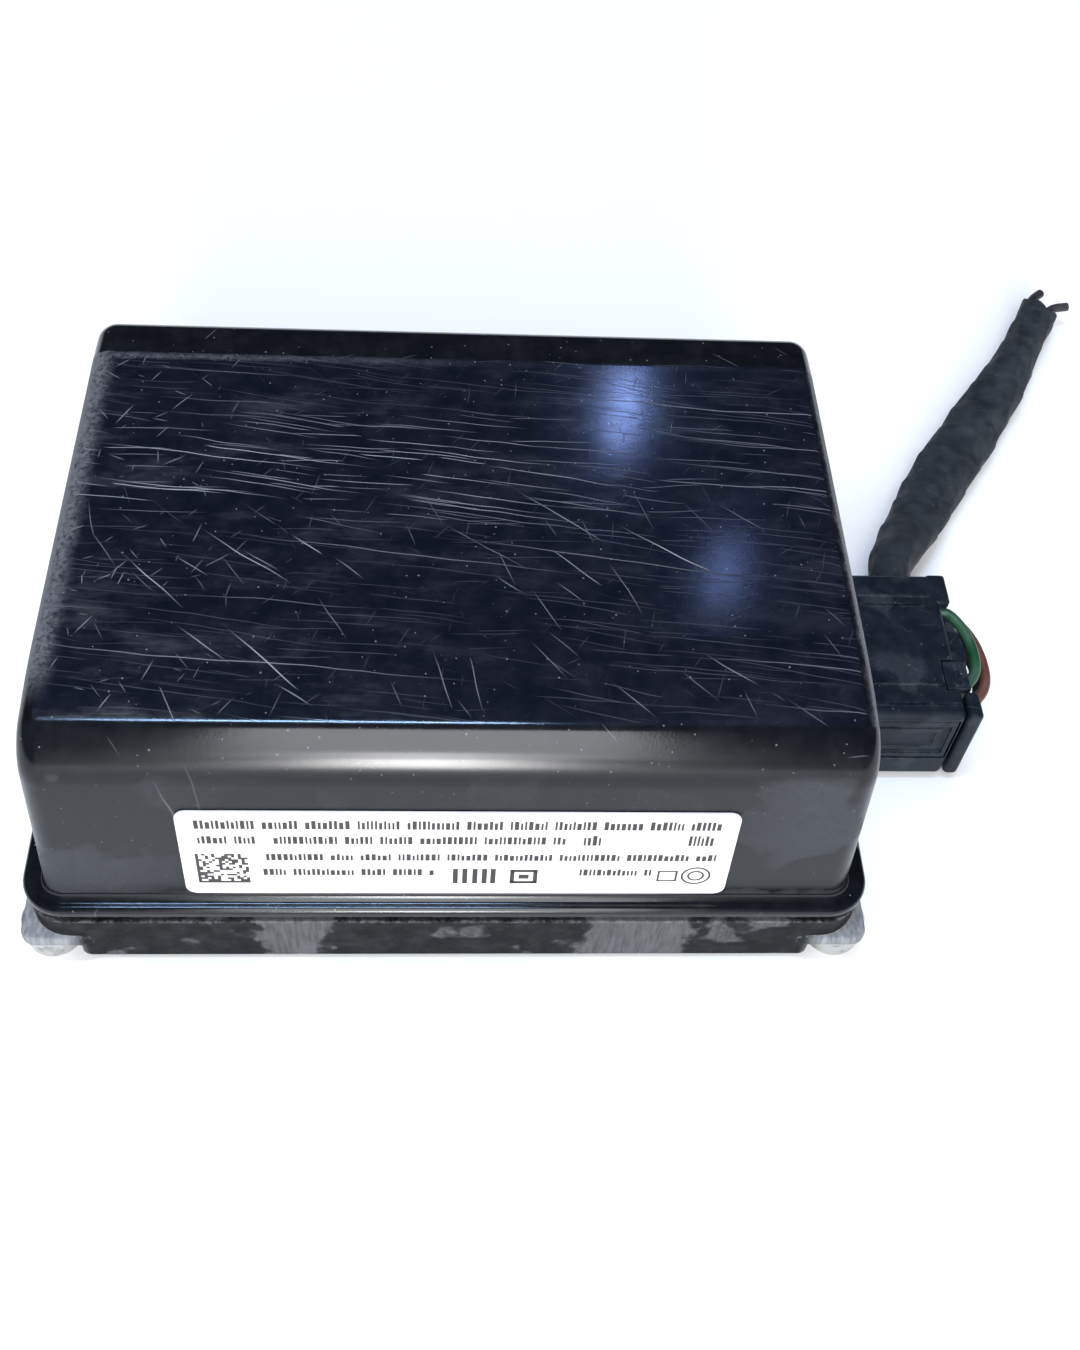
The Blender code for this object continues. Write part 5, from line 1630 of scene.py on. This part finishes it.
@dataclass
class HarnessPlug:
    """Sealed plug with its back cover, latch and lock."""

    x: Span = (0.0610, 0.0795)
    y: Span = (-0.0125, 0.0157)
    z: Span = (0.0013, 0.0182)
    back: float = 0.0822
    middle: float = 0.0016
    header_half: float = 0.0104
    header_z: Span = (0.0026, 0.0104)
    header_end: float = 0.0700
    wall: float = 0.0011
    gap: float = 0.0003
    contact_rows: Span = (0.0049, 0.0081)
    contact_pitch: float = 0.0042
    contact_half: float = 0.0007
    contact_x: Span = (0.0580, 0.0675)
    wire_chamber: Box = ((0.0665, -0.0080, 0.0122), (0.0900, 0.0125, 0.0158))
    latch_pocket: Box = ((0.0550, -0.0200, 0.0062), (0.0789, -0.0106, 0.0168))
    hook_window: Box = ((0.0550, -0.0130, 0.0055), (0.0660, -0.0078, 0.0093))
    grooves: tuple[Box, ...] = (
        ((0.0630, -0.0104, 0.0179), (0.0860, -0.0100, 0.0190)),
        ((0.0630, 0.0090, 0.0179), (0.0765, 0.0094, 0.0190)),
        ((0.0652, -0.0068, 0.0180), (0.0655, 0.0086, 0.0190)),
    )
    ribs: tuple[Box, ...] = (
        ((0.0632, 0.0108, 0.0176), (0.0776, 0.0114, 0.01845)),
        ((0.0655, -0.0066, 0.0176), (0.0765, -0.0060, 0.01840)),
    )
    back_corner: Box = ((0.0780, 0.0098, 0.0162), (0.0812, 0.0157, 0.0182))
    tall_end_y: float = -0.0076
    sill_z: Span = (0.0017, 0.0042)
    slot_levels: tuple[float, ...] = (0.0050, 0.0080, 0.0110, 0.0140)
    guide_y: Span = (-0.0031, 0.0096)
    guide_z: Span = (0.0036, 0.0150)
    guide_reach: float = 0.0030
    lock_y: Span = (-0.0072, -0.0018)
    lock_z: Span = (0.0166, 0.0180)
    lock_x: Span = (0.0773, 0.0812)
    grips: tuple[float, ...] = (0.0787, 0.0796, 0.0805)
    latch_x: Span = (0.0624, 0.0786)
    latch_z: Span = (0.0065, 0.0165)
    latch_inner: float = -0.0113
    pad_steps: tuple[tuple[tuple[Span, Span, Span], float, Joining], ...] = (
        (((0.0636, 0.0778), (-0.001, 0.0004), (0.0076, 0.0154)), 0.0003, Joining.CUT),
        (((0.0652, 0.0766), (0.0001, 0.0008), (0.0086, 0.0144)), 0.0002, Joining.FUSE),
        (((0.0662, 0.0757), (-0.001, 0.0003), (0.0094, 0.0136)), 0.0002, Joining.CUT),
    )
    hook_x: float = 0.0636
    hook_z: Span = (0.0066, 0.0088)

    def header_box(self, x: Span, grow: float) -> bmesh.types.BMesh:
        """Block round the header's outline, grown outwards."""
        half = self.header_half + grow
        low_z, high_z = self.header_z
        return block((x[0], self.middle - half, low_z - grow), (x[1], self.middle + half, high_z + grow))

    def contact_holes(self) -> list[bmesh.types.BMesh]:
        """One hole for each contact."""
        half = self.contact_half
        holes = []
        for z in self.contact_rows:
            for column in range(4):
                y = self.middle + (column - 1.5) * self.contact_pitch
                low = (self.contact_x[0], y - half, z - half)
                holes.append(block(low, (self.contact_x[1], y + half, z + half)))
        return holes

    def build_housing(self) -> None:
        """The plug's shell with its socket, wire chamber and seats."""
        low, high = ((self.x[i], self.y[i], self.z[i]) for i in (0, 1))
        shell = as_object("plug_shell", block(low, high, 0.0011, 5))
        end = self.header_end + 0.0013
        core = self.header_box((self.x[0] + 0.0004, end + 0.001), -self.wall - self.gap)
        combine(shell, self.header_box((0.055, end), self.gap), Joining.CUT)
        combine(shell, core, Joining.FUSE)
        combine(shell, merged(self.contact_holes()), Joining.CUT)
        for cut in (self.wire_chamber, self.latch_pocket, self.hook_window):
            combine(shell, block(*cut), Joining.CUT)
        combine(shell, merged(block(*groove) for groove in self.grooves), Joining.CUT)
        combine(shell, merged(block(*rib, 0.0002) for rib in self.ribs), Joining.FUSE)
        combine(shell, block(*self.back_corner, 0.0006, 4), Joining.FUSE)
        low_y, high_y = self.lock_y[0] - self.gap, self.lock_y[1] + self.gap
        combine(shell, block((0.0770, low_y, 0.0163), (0.090, high_y, 0.030)), Joining.CUT)
        smooth(shell, 30.0)
        install(shell, "plug", Slot.PLUG, ("plug_housing",))

    def wire_guide(self) -> bmesh.types.BMesh:
        """A rounded hump on the sill that fills the wires' loop and holds them out."""
        outline = loop_path(self.x[1] + self.gap, self.guide_y, self.guide_reach, (0.0, 0.0))
        return loft([at_height(outline, z) for z in self.guide_z])

    def build_cover(self) -> None:
        """The back cover: a tall block on one side and a low sill under the wires."""
        start = self.x[1] + self.gap
        tall = block((start, self.y[0], self.z[0]), (self.back, self.tall_end_y, self.z[1]), 0.0008, 5)
        cover = as_object("plug_cover", tall)
        low = (start, self.tall_end_y - 0.0014, self.sill_z[0])
        sill = block(low, (self.back - 0.0006, self.y[1], self.sill_z[1]), 0.0005, 4)
        combine(cover, sill, Joining.FUSE)
        slots = [block((0.0817, -0.0112, z), (0.0830, -0.0090, z + 0.0005)) for z in self.slot_levels]
        combine(cover, merged(slots), Joining.CUT)
        combine(cover, self.wire_guide(), Joining.FUSE)
        smooth(cover, 30.0)
        install(cover, "plug", Slot.PLUG, ("wire_cover",))

    def build_latch(self) -> None:
        """The rocking latch with two frames on its pad and a hook at its end."""
        low = (self.latch_x[0], self.y[0], self.latch_z[0])
        plate = block(low, (self.latch_x[1], self.latch_inner, self.latch_z[1]), 0.0003)
        arm = as_object("framed_latch", plate)
        for (x, depth, z), bevel, joining in self.pad_steps:
            low = (x[0], self.y[0] + depth[0], z[0])
            combine(arm, block(low, (x[1], self.y[0] + depth[1], z[1]), bevel), joining)
        low = (self.latch_x[0], -0.0120, self.hook_z[0])
        reach = self.middle - self.header_half - 0.0012
        combine(arm, block(low, (self.hook_x, reach, self.hook_z[1]), 0.0001), Joining.FUSE)
        smooth(arm, 30.0)
        install(arm, "latch", Slot.PLUG, ("latch_arm",))

    def build_lock(self) -> None:
        """The sliding lock with its grip ribs."""
        low, high = ((self.lock_x[i], self.lock_y[i], self.lock_z[i]) for i in (0, 1))
        lock = as_object("ribbed_lock", block(low, high, 0.0003))
        ribs = [block((x, -0.0066, 0.0174), (x + 0.0005, -0.0024, 0.0182), 0.0001) for x in self.grips]
        combine(lock, merged(ribs), Joining.FUSE)
        smooth(lock, 30.0)
        install(lock, "lock", Slot.PLUG, ("lock_slide",))

    def build(self) -> None:
        """Makes the plug's four pieces."""
        self.build_housing()
        self.build_cover()
        self.build_latch()
        self.build_lock()


@dataclass(frozen=True)
class Wire:
    """One insulated wire that bulges out behind the plug."""

    node: str
    slot: Slot
    ends: Span
    level: float
    bulge: float


@dataclass
class Harness:
    """Taped stub of the harness, its wires behind the plug and the wire ends at the cut."""

    wire_radius: float = 0.0009
    wire_rise: float = 0.0008
    gap: float = 0.0003
    back: float = 0.0795
    stub_pitch: float = 0.0085
    spacing: float = 0.0008
    route: tuple[Point, ...] = (
        (0.0738, 0.0164, 0.0110),
        (0.0740, 0.0196, 0.0109),
        (0.0760, 0.0252, 0.0098),
        (0.0802, 0.0322, 0.0074),
        (0.0844, 0.0394, 0.0056),
        (0.0886, 0.0463, 0.0046),
        (0.0972, 0.0592, 0.0042),
        (0.1064, 0.0724, 0.0042),
        (0.1151, 0.0864, 0.0042),
        (0.1212, 0.0976, 0.0042),
    )
    cut_ends: tuple[tuple[float, ...], ...] = (
        (-0.0022, 0.0008, 0.0046, 0.0012),
        (0.0020, 0.0006, 0.0036, 0.0030),
        (0.0004, -0.0022, 0.0022, -0.0010),
    )
    wires: tuple[Wire, ...] = (
        Wire("wire_green", Slot.WIRE_GREEN, (-0.0042, 0.0106), 0.0140, 0.0043),
        Wire("wire_brown", Slot.WIRE_BROWN, (-0.0062, 0.0128), 0.0112, 0.0066),
        Wire("wire_black", Slot.WIRE_DARK, (-0.0062, 0.0128), 0.0084, 0.0062),
        Wire("wire_grey", Slot.WIRE_GREY, (-0.0042, 0.0106), 0.0058, 0.0044),
    )

    def path(self) -> list[Vector]:
        """The stub's centreline."""
        return smooth_path([CENTRE + Vector(point) for point in self.route], self.spacing)

    def section(self, share: float, angle: float) -> tuple[float, float]:
        """Reach of the tape to the side and upwards, with its overlaps and folds."""
        length = 0.105 * share
        swell = math.sin(math.pi * min(1.0, 1.15 * share))
        wide = 0.0031 + 0.0022 * swell + 0.0009 * share
        tall = 0.00385 - 0.00045 * swell
        turns = length / self.stub_pitch + angle / (2 * math.pi)
        lap = turns % 1.0
        ridge = 0.00026 * lap * min(1.0, (1 - lap) * 9)
        fold = 0.00013 * math.sin(3 * angle + 260 * length) + 0.00010 * math.sin(7 * angle - 410 * length)
        out = math.cos(angle) * (wide - 0.0003 + ridge + fold)
        up = math.sin(angle) * (tall - 0.0003 + ridge + fold)
        return out, max(up, -0.0038)

    def build_stub(self) -> tuple[bpy.types.Object, list[Vector]]:
        """The taped bundle, open and ragged at its cut end."""
        path = self.path()
        frames = path_frames(path)
        sides = 48
        rings = []
        for index, (point, (along, side, rise)) in enumerate(zip(path, frames)):
            share = index / (len(path) - 1)
            ragged = max(0.0, (share - 0.94) / 0.06) ** 2
            ring = []
            for step in range(sides):
                angle = 2 * math.pi * step / sides
                out, up = self.section(share, angle)
                torn = 0.0011 * math.cos(2 * angle + 0.6) + 0.0005 * math.sin(5 * angle) - 0.0012
                ring.append(point + side * out + rise * up + along * torn * ragged)
            rings.append(ring)
        middle = path[-1]
        mouth = rings[-1]
        for shrink, depth in ((0.88, 0.0), (0.84, 0.0035)):
            back = frames[-1][0] * depth
            rings.append([middle + (point - middle) * shrink - back for point in mouth])
        stub = as_object("taped_harness", loft(rings))
        smooth(stub, 50.0, weighted=False)
        install(stub, "plug", Slot.TAPE, ("harness_stub",))
        return stub, path

    def build_wires(self) -> None:
        """The four wires behind the plug."""
        for wire in self.wires:
            rise = (wire.level, wire.level + self.wire_rise)
            path = loop_path(self.back + 2 * self.gap, wire.ends, wire.bulge, rise)
            obj = as_object(wire.node.replace("wire_", "lead_"), tube(path, self.round_section, 20))
            smooth(obj, 60.0, weighted=False)
            install(obj, "plug", wire.slot, (wire.node,))

    def round_section(self, _share: float, angle: float) -> tuple[float, float]:
        """A plain round wire."""
        return self.wire_radius * math.cos(angle), self.wire_radius * math.sin(angle)

    def build_ends(self, path: Sequence[Vector]) -> list[bpy.types.Object]:
        """The wires that stick out of the cut."""
        along = (path[-1] - path[-2]).normalized()
        across = Vector((along.y, -along.x, 0.0))
        made = []
        for index, (side, rise, reach, turn) in enumerate(self.cut_ends, 1):
            start = path[-1] + across * side + Vector((0.0, 0.0, rise))
            points = [
                start - along * 0.003,
                start,
                start + along * reach * 0.5 + across * turn * 0.3,
                start + along * reach + across * turn,
            ]
            obj = as_object(f"cut_lead_{index}", tube(smooth_path(points, 0.0005), self.round_section, 16))
            smooth(obj, 60.0, weighted=False)
            made.append(install(obj, "plug", Slot.WIRE_DARK, (f"cut_wire_{index}",)))
        return made

    def build(self) -> None:
        stub, path = self.build_stub()
        self.build_wires()
        ends = self.build_ends(path)


# ------------------------------------------------------------------------------------ inner pieces


@dataclass
class Inside:
    """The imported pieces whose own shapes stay: electronics, drum, antenna, seals and header."""

    subparts: list[dict[str, str]] = field(default_factory=lambda: frame["record"]["subparts"])

    def dress(self) -> None:
        """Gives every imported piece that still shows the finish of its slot."""
        for part in self.subparts:
            obj = bpy.data.objects.get(part["node"])
            if obj is not None and obj.type == "MESH" and not obj.hide_render:
                BOOK.dress(obj, Slot(part["material_slot"]))
                LOG.info("%s has its finish", obj.name)


def main() -> None:
    """Builds the surroundings and the pieces in order."""
    logging.basicConfig(level=logging.INFO, format="%(message)s")
    Studio().build()
    Harness().build()
    Radome().build()
    Base().build()
    RatingLabel().build()
    HarnessPlug().build()
    Inside().dress()


if __name__ == "__main__":
    main()
